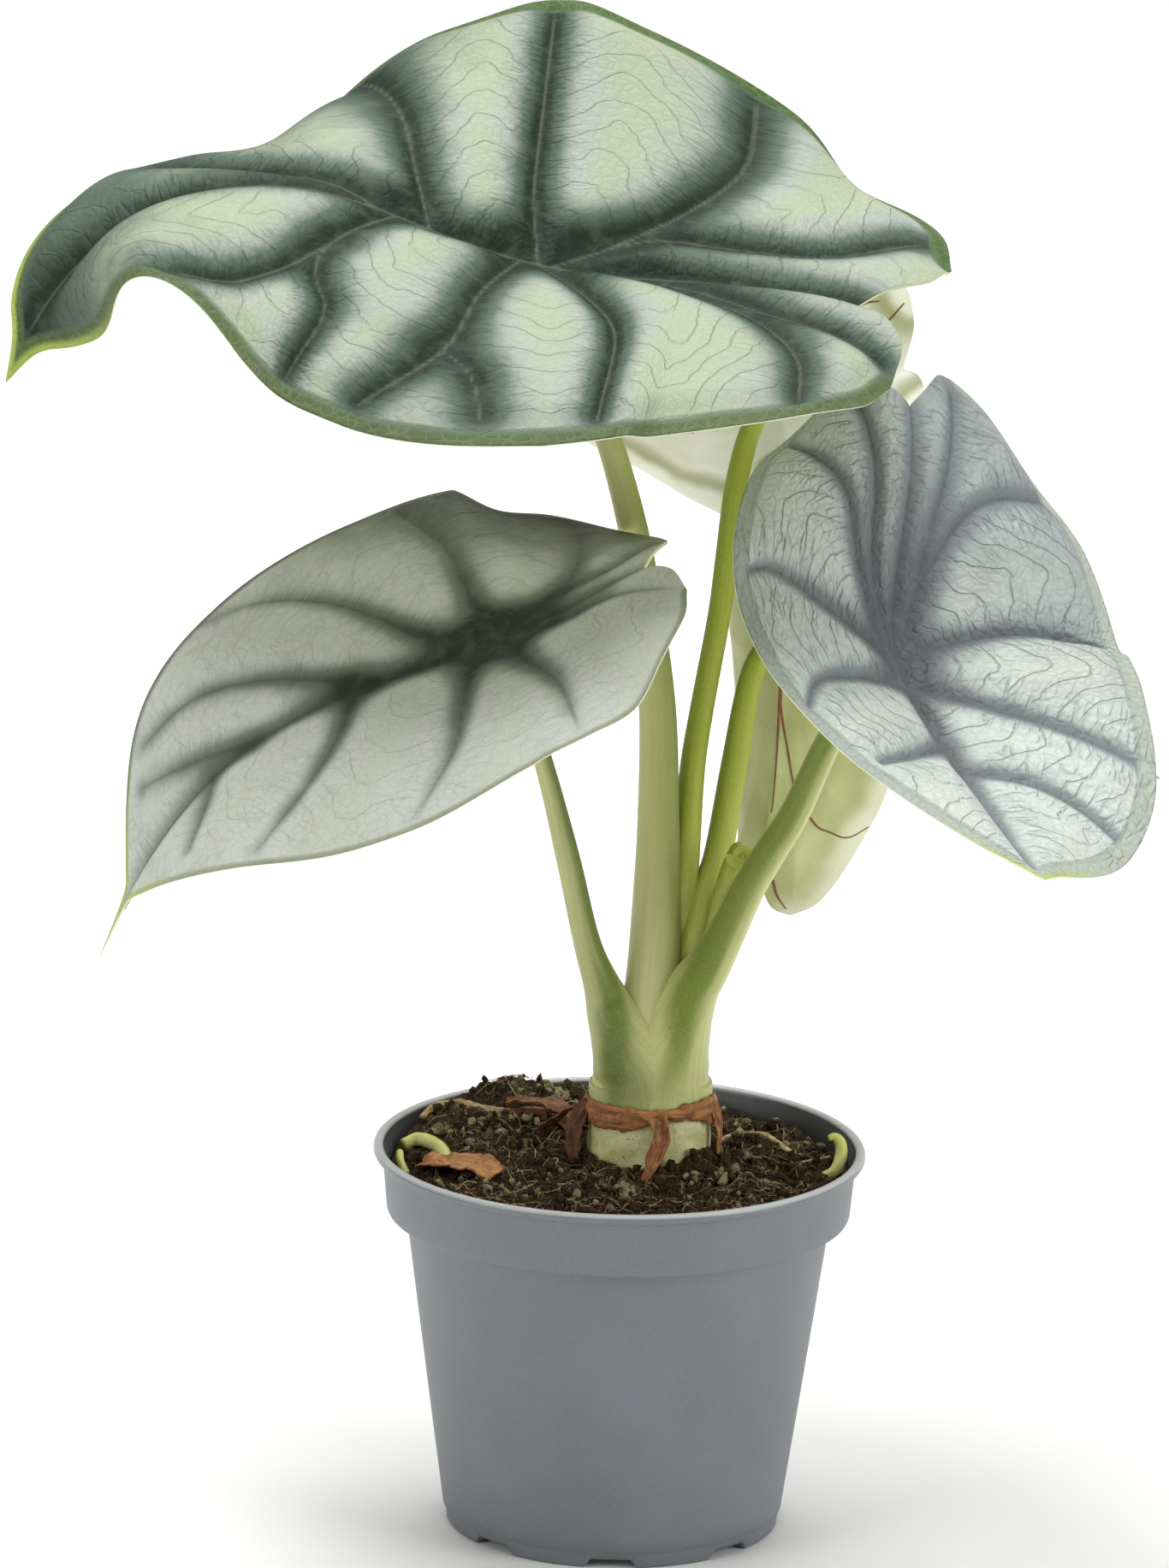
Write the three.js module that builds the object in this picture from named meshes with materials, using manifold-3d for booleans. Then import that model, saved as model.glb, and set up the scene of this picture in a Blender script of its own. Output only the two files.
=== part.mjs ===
// Potted silver dragon alocasia: a nursery pot of soil, a stem base, five leaf stalks with their
// blades, a new shoot, and the dried sheath, roots and scraps that lie on the soil.
// Millimetres, +Z up. The origin is the centre of the pot's underside, on the surface it stands on.
// +X is to the right and -Y towards the front, as the plant is usually looked at.

import * as THREE from 'three';
import { mergeVertices } from 'three/addons/utils/BufferGeometryUtils.js';
import Module from 'manifold-3d';

const wasm = await Module();
wasm.setup();

// Driving dimensions of the pot
const POT_HEIGHT = 95;
const LIP_RADIUS = 60;
const BAND_RADIUS = 56.4;
const BAND_FLARE = 1.4;
const BAND_BOTTOM = 78.4;
const BODY_TOP_RADIUS = 51.9;
const BASE_RADIUS = 40.7;
const WALL = 1.2;
const LIP_HEIGHT = 2.6;
const FLOOR_THICKNESS = 2.8;
const FOOT_STEP_HEIGHT = 3.8;
const FOOT_STEP = 0.4;
const CENTRE_PAD_RADIUS = 27;
const FOOT_RING_INNER = 35.5;
const FLOOR_RECESS = 1.4;
const DRAIN_HOLES = 8;
const DRAIN_RADIUS = 3.4;
const DRAIN_CIRCLE = 31.2;
const NOTCH_WIDTH = 12.5;
const NOTCH_HEIGHT = 2.3;
const POT_SEGMENTS = 40;

// Driving dimensions of the soil
const SOIL_LEVEL = 88.5;
const SOIL_MOUND = 6.5;
const SOIL_MOUND_CENTRE = [-30, 38];
const SOIL_MOUND_WIDTH = 20;
const SOIL_AT_STEM = 3.0;
const SOIL_STEM_WIDTH = 14;
const SOIL_LUMP = 0.9;
const SOIL_RINGS = 8;
const SOIL_SECTORS = 36;

// Clearance between solids that touch on the real plant
const GAP = 0.3;

// Driving dimensions of the stem base and of the leaf blades
const STEM_CENTRE = [7.2, 0];
const STEM_HALF_WIDTH = 15.0;
const STEM_HALF_DEPTH = 13.4;
const STEM_TOP = 105;
const STEM_ROOT = 74;
const BLADE_THICKNESS = 0.8;
const VEIN_VALLEY = 7.5;
const MARGIN_FADE = 12;
const TIP_REACH = 1.02;

// Colours and finishes
const FINISHES = {
  pot: { color: 0x7a8087, roughness: 0.55 },
  soil: { color: 0x3b2e22, roughness: 1.0 },
  rhizome: { color: 0xb9c39a, roughness: 0.6 },
  stalk: { color: 0x9caf55, roughness: 0.45 },
  blade: { color: 0xa9b8ad, roughness: 0.5 },
  dry: { color: 0xa5643a, roughness: 0.9 },
  root: { color: 0xc8b074, roughness: 0.9 },
  shoot: { color: 0xb5c46a, roughness: 0.5 },
};

// Half outline of a blade: first the inner side of a back lobe from the sinus, then round the lobe
// and along the margin to the tip. Each pair is the length as a share of the part behind or in
// front of the stalk, and the width as a share of the half width.
const SINUS = [[-0.83, 0], [-0.885, 0.07], [-0.97, 0.2], [-1, 0.38]];
const MARGIN = [[-1, 0.38], [-0.93, 0.6], [-0.7, 0.82], [-0.35, 0.96], [0, 1], [0.22, 0.97],
  [0.45, 0.84], [0.66, 0.6], [0.83, 0.32], [0.93, 0.13], [TIP_REACH, 0]];

// The five blades. attach is the point over the end of the stalk, heading, pitch and roll turn the
// blade there, front, back and half are its length before and behind the stalk and its half width.
// rise and swing bend the midrib up and sideways, in degrees at nine even stations from the back
// lobes to the tip. fold and curl are the slope of the left and right half beside the midrib and
// its turning out to the margin. puff is how far the panels swell between the veins.
// veins are lists of points, as shares like the outline, positive to the left of the midrib.
const BLADES = {
  blade_top: {
    attach: [-24, 0, 312.5], heading: 181.5, pitch: 4.5, roll: -5, front: 144, back: 92.5, half: 91,
    rise: [32, 4, -3, -2, 9, 17, -9, -43, -70], swing: [-8, -8, -12, -2, 3, -1, -1, 6, 22],
    foldLeft: [-5, -2, 0, 3, 1, -6, -8, -1, -46], foldRight: [21, 11, 13, 23, 26, 17, -4, 6, 19],
    curlLeft: [-5, -13, -21, -22, -24, -28, -26, 5, -22], curlRight: [-29, -13, 5, 7, 7, -1, -22, -26, -19],
    puff: 4.2, rows: 30, columns: 8,
    veins: [
      [[0, 0], [-0.11, 0.2], [-0.19, 0.4], [-0.2, 0.58], [-0.15, 0.91]],
      [[-0.16, 0], [-0.39, 0.07], [-0.64, 0.2], [-0.8, 0.25], [-0.95, 0.3]],
      [[-0.22, 0.02], [-0.42, 0.13], [-0.6, 0.24], [-0.73, 0.45], [-0.77, 0.7]],
      [[0.03, 0], [0.1, 0.31], [0.14, 0.62], [0.23, 0.88]],
      [[0.14, 0.62], [0.1, 0.72], [0.08, 0.9]],
      [[0.25, 0], [0.35, 0.28], [0.36, 0.43], [0.33, 0.58], [0.38, 0.83]],
      [[0.35, 0.28], [0.42, 0.41], [0.53, 0.5], [0.67, 0.56]],
      [[0, 0], [0.02, -0.28], [0.02, -0.61], [0.02, -0.96]],
      [[0.19, 0], [0.24, -0.25], [0.28, -0.51], [0.35, -0.88]],
      [[0.28, 0], [0.37, -0.07], [0.5, -0.16], [0.64, -0.4]],
      [[-0.03, 0], [-0.18, -0.11], [-0.34, -0.28], [-0.44, -0.56], [-0.43, -0.9]],
      [[-0.08, -0.04], [-0.28, -0.16], [-0.5, -0.19], [-0.74, -0.25], [-0.92, -0.45]],
    ],
  },
  blade_left: {
    attach: [-31, -42, 230.5], heading: 180, pitch: -31.5, roll: -17.5, front: 121.5, back: 46, half: 61.5,
    rise: [14, 5, 2, 5, 10, 9, -5, -26, -37], swing: [1, 3, 4, 3, 0, -4, -2, -1, -2],
    foldLeft: [11, 11, 8, 8, 6, 1, 0, 7, 19], foldRight: [-16, -11, -3, 4, 13, 17, 21, 22, 9],
    curlLeft: [-15, -18, -19, -14, -10, -14, -19, -20, -16], curlRight: [-19, -11, -7, -9, -9, -14, -17, -6, -4],
    puff: 1.5, rows: 24, columns: 6,
    veins: [
      [[0, 0], [0.03, -0.31], [0.05, -0.62], [0.14, -0.95]],
      [[0.02, 0], [0.14, -0.16], [0.28, -0.46], [0.42, -0.67], [0.54, -0.74]],
      [[0.27, 0], [0.42, -0.21], [0.58, -0.38], [0.72, -0.4]],
      [[0.58, 0], [0.67, -0.14], [0.77, -0.26]],
      [[0, 0], [-0.3, -0.1], [-0.5, -0.27], [-0.58, -0.55], [-0.56, -0.8]],
      [[-0.05, 0], [-0.4, -0.13], [-0.69, -0.16], [-0.95, -0.34]],
      [[-0.04, 0], [-0.34, 0.08], [-0.62, 0.12], [-0.94, 0.33]],
      [[0, 0], [-0.1, 0.26], [-0.21, 0.55], [-0.22, 0.92]],
      [[0.05, 0], [0.09, 0.36], [0.13, 0.66], [0.22, 0.91]],
      [[0.3, 0], [0.34, 0.23], [0.42, 0.43], [0.57, 0.62]],
      [[0.58, 0], [0.6, 0.14], [0.68, 0.34]],
    ],
  },
  blade_right: {
    attach: [63.5, -38, 226.5], heading: -75, pitch: -30, roll: -13.5, front: 100, back: 79.5, half: 58.5,
    rightShare: 0.72,
    rise: [-4, -23, -38, -33, -9, 8, 16, 22, 26], swing: [9, -1, -7, -7, 4, 8, 1, -5, -5],
    foldLeft: [-13, -12, -3, 6, 12, 12, 6, -3, -7], foldRight: [-41, -27, -9, 4, 10, 13, 10, 6, 0],
    curlLeft: [-40, -30, -20, -12, -5, -4, -10, -19, -23], curlRight: [-48, -40, -27, -16, -11, -9, -10, -11, -15],
    puff: 2.2, rows: 24, columns: 6,
    veins: [
      [[0, 0], [-0.33, -0.16], [-0.58, -0.2], [-0.93, -0.3]],
      [[0, 0], [-0.2, 0.08], [-0.5, 0.13], [-0.93, 0.28]],
      [[-0.05, -0.08], [-0.32, -0.25], [-0.55, -0.39], [-0.76, -0.76]],
      [[0, 0], [-0.12, -0.36], [-0.22, -0.74], [-0.19, -0.95]],
      [[0.07, 0], [0.08, -0.38], [0.12, -0.68], [0.25, -0.9]],
      [[0.3, 0], [0.38, -0.29], [0.47, -0.6]],
      [[0, 0], [-0.09, 0.3], [-0.17, 0.62], [-0.14, 0.95]],
      [[-0.18, 0.06], [-0.47, 0.22], [-0.6, 0.42], [-0.68, 0.8]],
      [[0.07, 0], [0.16, 0.25], [0.3, 0.58], [0.42, 0.88]],
      [[0.4, 0], [0.47, 0.32], [0.64, 0.62]],
    ],
  },
  blade_rear: {
    attach: [33.5, 42, 274.5], heading: 185, pitch: -5, roll: 66, front: 72, back: 38.5, half: 45,
    rise: [-14, -11, -8, -4, 2, 9, 14, 17, 19], swing: [-7, -4, -2, 0, 2, 2, 1, 1, 0],
    foldLeft: [16, 14, 12, 12, 12, 12, 12, 12, 12], foldRight: [21, 15, 9, 4, 1, 6, 11, 13, 13],
    curlLeft: [27, 26, 25, 25, 25, 25, 25, 25, 25], curlRight: [30, 24, 18, 13, 9, 14, 21, 23, 23],
    puff: 1.6, rows: 18, columns: 5, veins: [],
  },
  blade_young: {
    attach: [36.9, 27.5, 217.5], heading: -95, pitch: 91.5, roll: -3.5, front: 52, back: 74, half: 32,
    rise: [-26, -12, -2, 1, 2, 2, 2, 1, 1], swing: [20, 12, 6, 1, 1, 5, 8, 9, 9],
    foldLeft: [18, 19, 13, 11, 10, 11, 12, 12, 12], foldRight: [50, 39, 33, 30, 28, 27, 25, 23, 20],
    curlLeft: [32, 28, 19, 17, 17, 19, 20, 20, 20], curlRight: [78, 72, 68, 64, 59, 53, 45, 38, 30],
    puff: 1.2, rows: 18, columns: 5, veins: [],
  },
};

// Veins of the two blades that face away, mirrored on both halves
const PLAIN_VEINS = [
  [[0, 0], [-0.3, 0.12], [-0.6, 0.2], [-0.94, 0.35]],
  [[-0.12, 0.05], [-0.4, 0.28], [-0.58, 0.55], [-0.6, 0.82]],
  [[0, 0], [-0.06, 0.3], [-0.08, 0.62], [-0.02, 0.95]],
  [[0.12, 0], [0.2, 0.32], [0.28, 0.6], [0.4, 0.85]],
  [[0.38, 0], [0.46, 0.24], [0.56, 0.44], [0.68, 0.55]],
];
for (const name of ['blade_rear', 'blade_young']) {
  const mirrored = PLAIN_VEINS.map((vein) => vein.map(([q, w]) => [q, -w]));
  BLADES[name].veins = [...PLAIN_VEINS, ...mirrored];
}

// The leaf stalks, each with the sheath that it starts in: points of the middle line, with the half
// width and half depth of the section there. Each is cut where an earlier one of the list passes.
const STALKS = {
  stalk_right: {
    blade: 'blade_right',
    line: [[13.2, 0, 105.3, 9.4, 12.9], [13.2, 0, 109, 9.3, 12.8], [13.2, -0.4, 116, 9, 12.2],
      [13.6, -1, 124, 8.4, 11], [15.6, -2, 132, 7.2, 9], [20.6, -3, 141.5, 5.4, 6.6],
      [25.3, -4.5, 151.5, 4.5, 5], [30, -7.5, 163, 4.1, 4.2], [35.6, -11, 174, 3.9, 3.9],
      [40.6, -15, 184, 3.6, 3.6], [48, -24, 204, 3.2, 3.2], [55.5, -32, 217.5, 3, 3],
      [63.5, -38, 226.5, 2.8, 2.8]],
  },
  stalk_left: {
    blade: 'blade_left',
    line: [[0.7, 0, 105.3, 8.7, 12.6], [0.7, 0, 109, 8.6, 12.5], [0.4, -0.6, 116, 8.3, 11.8],
      [-1, -1.2, 125, 7, 9.8], [-5.4, -3, 137, 4.2, 5.6], [-9.1, -8, 148.5, 3.3, 3.7],
      [-14, -18, 172, 2.9, 3], [-19.9, -28, 197, 2.3, 2.4], [-25.5, -37, 216, 2.2, 2.2],
      [-31, -42, 230.5, 2.3, 2.3]],
  },
  stalk_top: {
    blade: 'blade_top',
    line: [[7.4, 0, 105.3, 11.5, 13], [7.4, 0, 109, 11.4, 12.9], [7.4, 0.5, 116, 10.8, 12.1],
      [7.4, 1.5, 124, 9.2, 10.6], [7.4, 2.5, 136, 6.9, 7.6], [7.6, 4, 155, 5.9, 6.1],
      [7.6, 5.5, 175, 5.1, 5.2], [6.8, 8.5, 202, 4.5, 4.6], [3.5, 10.5, 227, 4, 4.1],
      [0, 10.5, 246, 3.6, 3.7], [-6, 7, 268, 3.2, 3.2], [-14.8, 3, 291, 2.9, 2.9],
      [-24, 0, 312.5, 2.8, 2.8]],
  },
  stalk_rear: {
    blade: 'blade_rear',
    line: [[10.5, 7, 124, 4.4, 4.4], [13, 7.5, 145, 4.2, 4.2], [14.4, 9, 166, 3.5, 3.5],
      [15.6, 14, 186, 3.1, 3.1], [17.6, 19, 200, 2.9, 2.9], [21.2, 24, 221.5, 2.8, 2.8],
      [22.8, 27.5, 235.5, 2.8, 2.8], [24.6, 32.5, 252, 2.7, 2.7], [28, 38, 265, 2.6, 2.6],
      [33.5, 42, 274.5, 2.5, 2.5]],
  },
  stalk_young: {
    blade: 'blade_young',
    line: [[15, 4, 128, 4.2, 4], [17, 4.5, 143.5, 3.9, 3.8], [19.2, 8, 155.5, 3.7, 3.6],
      [22.3, 11, 165.5, 3.5, 3.5], [25.6, 15, 186, 3.3, 3.3], [29, 21, 206, 2.9, 2.9],
      [32.8, 25, 214, 2.7, 2.7], [36.9, 27.5, 217.5, 2.5, 2.5]],
  },
};

// The new shoot in the right-hand stalk's sheath
const SHOOT_LINE = [[20.5, 2, 138, 2.2, 2.2], [22, 2, 148.5, 2.5, 2.3], [23.6, 2, 157, 2.6, 2.3],
  [25.7, 1.6, 165, 2.5, 2.1], [27.2, 1, 171.5, 1.5, 1.3]];

// What lies on the soil: points of the middle line over the soil, as x, y, height of the line over
// the soil, half width and half height of the section
const DRIED_STALK = [[-48.5, 24, 1.2, 0.9, 0.8], [-46, 29.5, 1, 1, 0.9], [-40.5, 33, 0.9, 1.1, 0.9],
  [-34.5, 30, 1, 1.3, 1], [-28, 25.5, 1.3, 2.2, 0.9], [-21.5, 25.5, 1.6, 3.2, 0.9],
  [-15.5, 24.5, 2, 3, 0.9], [-11, 18.5, 1.6, 1.8, 0.9]];
const ROOT_RIGHT = [[24, 23.5, 0.4, 0.7, 0.7], [28, 28.5, 0.7, 0.7, 0.7], [34.5, 26.5, 0.8, 0.7, 0.7],
  [38.5, 22, 0.7, 0.7, 0.7], [41.5, 15, 0.5, 0.7, 0.7], [44.5, 12.5, 0.3, 0.6, 0.6]];
const ROOT_THIN = [[41, 4, 0.3, 0.5, 0.5], [44.5, 7, 0.5, 0.5, 0.5], [48, 9.5, 0.5, 0.5, 0.5],
  [52, 11.5, 0.6, 0.5, 0.5]];
const GREEN_STUB = [[-53, 9, 1.6, 1.4, 1.4], [-49, 11, 1.8, 1.7, 1.7], [-44, 5.5, 1.6, 1.7, 1.7],
  [-41.5, -1, 1, 1.4, 1.4]];
const PALE_STUB = [[-51.5, -8, 0.8, 1, 1], [-53.2, -3.5, 2, 1, 1], [-53.5, 1.5, 2.4, 0.9, 0.9]];
const SPROUT = [[50, -4.2, 1.2, 1.3, 1.3], [52.6, -3.3, 2, 1.5, 1.5], [53.9, -1.4, 4.4, 1.5, 1.5],
  [53.8, 0.3, 7.1, 1.4, 1.4], [52.5, 0.9, 9, 1.1, 1.1], [50.8, 0.5, 9.3, 0.7, 0.7]];
const SCALE_LINE = [[-48.5, -5, 1.2, 2.4, 0.7], [-44.5, -6.5, 1.9, 4.8, 0.8], [-39, -10, 2.3, 6.4, 0.9],
  [-34, -14, 1.9, 5.8, 0.8], [-30.5, -17.5, 1.1, 3.2, 0.7]];

// The dry sheath round the stem where the stalks start
const SHEATH_BOTTOM = 102.4;
const SHEATH_TOP = 108;
const SHEATH_WALL = 0.8;
const SHEATH_STRIP = [[10, -14.4, 104.5, 2.2, 0.7], [10.2, -15, 100, 1.8, 0.7], [9, -15.4, 96.5, 1.6, 0.7],
  [7, -16, 93.4, 1.2, 0.7]];

const rad = THREE.MathUtils.degToRad;

// Uniform Catmull-Rom value of a list of numbers at a place t from 0 to 1 along it
function stationValue(values, t) {
  const n = values.length;
  const x = Math.min(Math.max(t, 0), 1) * (n - 1);
  const i = Math.min(Math.floor(x), n - 2);
  const f = x - i;
  const at = (k) => {
    if (k < 0) return 2 * values[0] - values[1];
    if (k > n - 1) return 2 * values[n - 1] - values[n - 2];
    return values[k];
  };
  const [a, b, c, d] = [at(i - 1), at(i), at(i + 1), at(i + 2)];
  return 0.5 * (2 * b + (c - a) * f + (2 * a - 5 * b + 4 * c - d) * f * f
    + (3 * b - a - 3 * c + d) * f * f * f);
}

// Points along a Catmull-Rom curve through rows of numbers, with steps between each two rows
function curveRows(rows, steps) {
  const out = [];
  const total = (rows.length - 1) * steps;
  for (let i = 0; i <= total; i += 1) {
    out.push(rows[0].map((_, k) => stationValue(rows.map((row) => row[k]), i / total)));
  }
  return out;
}

// A closed mesh as a solid, and back again
function solidOf(geometry) {
  const bare = geometry.clone();
  bare.deleteAttribute('normal');
  bare.deleteAttribute('uv');
  const merged = mergeVertices(bare, 1e-4);
  const mesh = new wasm.Mesh({
    numProp: 3,
    vertProperties: new Float32Array(merged.attributes.position.array),
    triVerts: new Uint32Array(merged.index.array),
  });
  return new wasm.Manifold(mesh);
}

function geometryOf(solid) {
  const mesh = solid.getMesh();
  const geometry = new THREE.BufferGeometry();
  geometry.setAttribute('position', new THREE.BufferAttribute(new Float32Array(mesh.vertProperties), 3));
  geometry.setIndex(new THREE.BufferAttribute(new Uint32Array(mesh.triVerts), 1));
  return geometry;
}

// The largest body of a solid, without the scraps that a cut leaves
function largest(solid) {
  const bodies = solid.decompose();
  bodies.sort((a, b) => b.volume() - a.volume());
  return bodies[0];
}

function indexedGeometry(points, triangles) {
  const geometry = new THREE.BufferGeometry();
  geometry.setAttribute('position', new THREE.Float32BufferAttribute(points.flat(), 3));
  geometry.setIndex(triangles);
  return geometry;
}

// A stalk or root: elliptical rings carried along a middle line, closed at both ends. Each row of
// the line is x, y, z, half width and half depth. A ring takes its turn from the one before it, so
// that the skin doesn't twist where a line rises upright. grow widens the section, for a cutter.
function loft(line, steps, sides, grow = 0) {
  const rows = curveRows(line, steps);
  const points = [];
  const triangles = [];
  const centre = (row) => new THREE.Vector3(row[0], row[1], row[2]);
  let side;
  rows.forEach((row, i) => {
    const before = centre(rows[Math.max(i - 1, 0)]);
    const after = centre(rows[Math.min(i + 1, rows.length - 1)]);
    const along = after.sub(before).normalize();
    if (i === 0) {
      const level = Math.abs(along.z) < 0.6;
      side = level ? new THREE.Vector3(0, 0, 1).cross(along) : new THREE.Vector3(1, 0, 0);
    }
    side.addScaledVector(along, -side.dot(along)).normalize();
    const depth = along.clone().cross(side);
    for (let j = 0; j < sides; j += 1) {
      const a = (2 * Math.PI * j) / sides;
      const p = centre(row);
      p.addScaledVector(side, (row[3] + grow) * Math.cos(a));
      p.addScaledVector(depth, (row[4] + grow) * Math.sin(a));
      points.push(p.toArray());
    }
  });
  const last = rows.length - 1;
  const start = points.push(rows[0].slice(0, 3)) - 1;
  const end = points.push(rows[last].slice(0, 3)) - 1;
  for (let j = 0; j < sides; j += 1) {
    const k = (j + 1) % sides;
    for (let i = 0; i < last; i += 1) {
      const [a, b, c, d] = [i * sides + j, i * sides + k, (i + 1) * sides + k, (i + 1) * sides + j];
      triangles.push(a, b, c, a, c, d);
    }
    triangles.push(start, k, j, end, last * sides + j, last * sides + k);
  }
  return indexedGeometry(points, triangles);
}

// Height of the soil at a place: a level bed with a mound at the back left, a rise round the stem
// and seven crossing waves that make its lumps
function soilHeight(x, y) {
  const mound = SOIL_MOUND * Math.exp(-((x - SOIL_MOUND_CENTRE[0]) ** 2
    + (y - SOIL_MOUND_CENTRE[1]) ** 2) / (2 * SOIL_MOUND_WIDTH ** 2));
  const stem = SOIL_AT_STEM * Math.exp(-((x - STEM_CENTRE[0]) ** 2
    + (y - STEM_CENTRE[1]) ** 2) / (2 * SOIL_STEM_WIDTH ** 2));
  let lumps = 0;
  for (let k = 0; k < 7; k += 1) {
    const turn = 2.4 * k + 0.5;
    const pitch = 0.16 + 0.055 * k;
    lumps += Math.sin(pitch * (x * Math.cos(turn) + y * Math.sin(turn)) + 1.7 * k) / (1 + 0.45 * k);
  }
  return SOIL_LEVEL + mound + stem + (SOIL_LUMP * lumps) / 1.6;
}

// Rows of a line given over the soil, as rows in space
function overSoil(line) {
  return line.map(([x, y, lift, a, b]) => [x, y, soilHeight(x, y) + lift, a, b]);
}

// The pot: one turned profile with eight drain holes through its recessed floor and eight notches
// through its foot ring, each in line with a hole
function potGeometry() {
  const bodyInner = BODY_TOP_RADIUS - WALL;
  const bandTop = BAND_RADIUS + BAND_FLARE;
  const profile = [
    [0, 0], [CENTRE_PAD_RADIUS, 0], [CENTRE_PAD_RADIUS + 0.8, FLOOR_RECESS],
    [FOOT_RING_INNER - 0.8, FLOOR_RECESS], [FOOT_RING_INNER, 0], [BASE_RADIUS - 0.4, 0],
    [BASE_RADIUS, 0.5], [BASE_RADIUS + FOOT_STEP, FOOT_STEP_HEIGHT],
    [BASE_RADIUS + 2 * FOOT_STEP, FOOT_STEP_HEIGHT + 0.3], [BODY_TOP_RADIUS, BAND_BOTTOM - 0.3],
    [BAND_RADIUS - 0.6, BAND_BOTTOM], [BAND_RADIUS, BAND_BOTTOM + 0.7],
    [bandTop, POT_HEIGHT - LIP_HEIGHT], [LIP_RADIUS - 0.5, POT_HEIGHT - LIP_HEIGHT],
    [LIP_RADIUS, POT_HEIGHT - LIP_HEIGHT + 0.7], [LIP_RADIUS, POT_HEIGHT - 0.8],
    [LIP_RADIUS - 1, POT_HEIGHT], [bandTop - 0.4, POT_HEIGHT - 0.3],
    [BAND_RADIUS - WALL, BAND_BOTTOM + WALL], [bodyInner, BAND_BOTTOM - 0.4],
    [BASE_RADIUS - WALL, FLOOR_THICKNESS], [0, FLOOR_THICKNESS],
  ].map(([r, z]) => new THREE.Vector2(r, z));
  const turned = new THREE.LatheGeometry(profile, POT_SEGMENTS);
  turned.rotateX(Math.PI / 2);
  let pot = solidOf(turned);
  for (let k = 0; k < DRAIN_HOLES; k += 1) {
    const angle = (2 * Math.PI * (k + 0.5)) / DRAIN_HOLES - Math.PI / 2 + Math.PI / DRAIN_HOLES;
    const hole = new THREE.CylinderGeometry(DRAIN_RADIUS, DRAIN_RADIUS, 4 * FLOOR_THICKNESS, 12);
    hole.rotateX(Math.PI / 2);
    hole.translate(DRAIN_CIRCLE * Math.cos(angle), DRAIN_CIRCLE * Math.sin(angle), FLOOR_THICKNESS);
    const notch = new THREE.BoxGeometry(2 * (BASE_RADIUS - FOOT_RING_INNER + 2), NOTCH_WIDTH, 2 * NOTCH_HEIGHT);
    notch.translate(BASE_RADIUS, 0, 0);
    notch.rotateZ(angle);
    pot = pot.subtract(solidOf(hole)).subtract(solidOf(notch));
  }
  return geometryOf(pot);
}

// The soil: rings and sectors of the pot's inside under the formula of its height, with a plain
// hole for the stem and a bed pressed under each thing that lies on it
function soilGeometry(cutters) {
  const wallRadius = (z) => {
    const body = BASE_RADIUS - WALL + ((z - FLOOR_THICKNESS) / (BAND_BOTTOM - FLOOR_THICKNESS))
      * (BODY_TOP_RADIUS - BASE_RADIUS);
    const band = BAND_RADIUS - WALL + ((z - BAND_BOTTOM) / (POT_HEIGHT - BAND_BOTTOM)) * BAND_FLARE;
    return (z > BAND_BOTTOM + WALL ? band : body) - GAP - 0.15;
  };
  const points = [];
  const triangles = [];
  const levels = [BAND_BOTTOM + 2.4, BAND_BOTTOM + 0.5, BAND_BOTTOM - 1, FLOOR_THICKNESS + GAP];
  points.push([0, 0, soilHeight(0, 0)]);
  for (let i = 1; i <= SOIL_RINGS; i += 1) {
    for (let j = 0; j < SOIL_SECTORS; j += 1) {
      const angle = (2 * Math.PI * j) / SOIL_SECTORS;
      const radius = (wallRadius(SOIL_LEVEL) * i) / SOIL_RINGS;
      const [x, y] = [radius * Math.cos(angle), radius * Math.sin(angle)];
      points.push([x, y, Math.min(soilHeight(x, y), POT_HEIGHT + 1.5)]);
    }
  }
  for (const z of levels) {
    for (let j = 0; j < SOIL_SECTORS; j += 1) {
      const angle = (2 * Math.PI * j) / SOIL_SECTORS;
      points.push([wallRadius(z) * Math.cos(angle), wallRadius(z) * Math.sin(angle), z]);
    }
  }
  const ring = (i, j) => 1 + (i - 1) * SOIL_SECTORS + (j % SOIL_SECTORS);
  const rings = SOIL_RINGS + levels.length;
  const bottom = points.push([0, 0, FLOOR_THICKNESS + GAP]) - 1;
  for (let j = 0; j < SOIL_SECTORS; j += 1) {
    triangles.push(0, ring(1, j), ring(1, j + 1));
    for (let i = 1; i < rings; i += 1) {
      triangles.push(ring(i, j), ring(i + 1, j), ring(i + 1, j + 1));
      triangles.push(ring(i, j), ring(i + 1, j + 1), ring(i, j + 1));
    }
    triangles.push(bottom, ring(rings, j + 1), ring(rings, j));
  }
  let soil = solidOf(indexedGeometry(points, triangles));
  for (const cutter of cutters) soil = soil.subtract(cutter);
  return geometryOf(largest(soil));
}

// Width shares of a half outline at a length share q: the sinus side and the margin side
const SINUS_CURVE = curveRows(SINUS, 8);
const MARGIN_CURVE = curveRows(MARGIN, 8);
function shareAt(curve, q) {
  const rows = curve[0][0] < curve[curve.length - 1][0] ? curve : [...curve].reverse();
  for (let i = 1; i < rows.length; i += 1) {
    if (q <= rows[i][0] || i === rows.length - 1) {
      const span = rows[i][0] - rows[i - 1][0];
      const t = span === 0 ? 0 : (q - rows[i - 1][0]) / span;
      return rows[i - 1][1] + Math.min(Math.max(t, 0), 1) * (rows[i][1] - rows[i - 1][1]);
    }
  }
  return 0;
}

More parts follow.
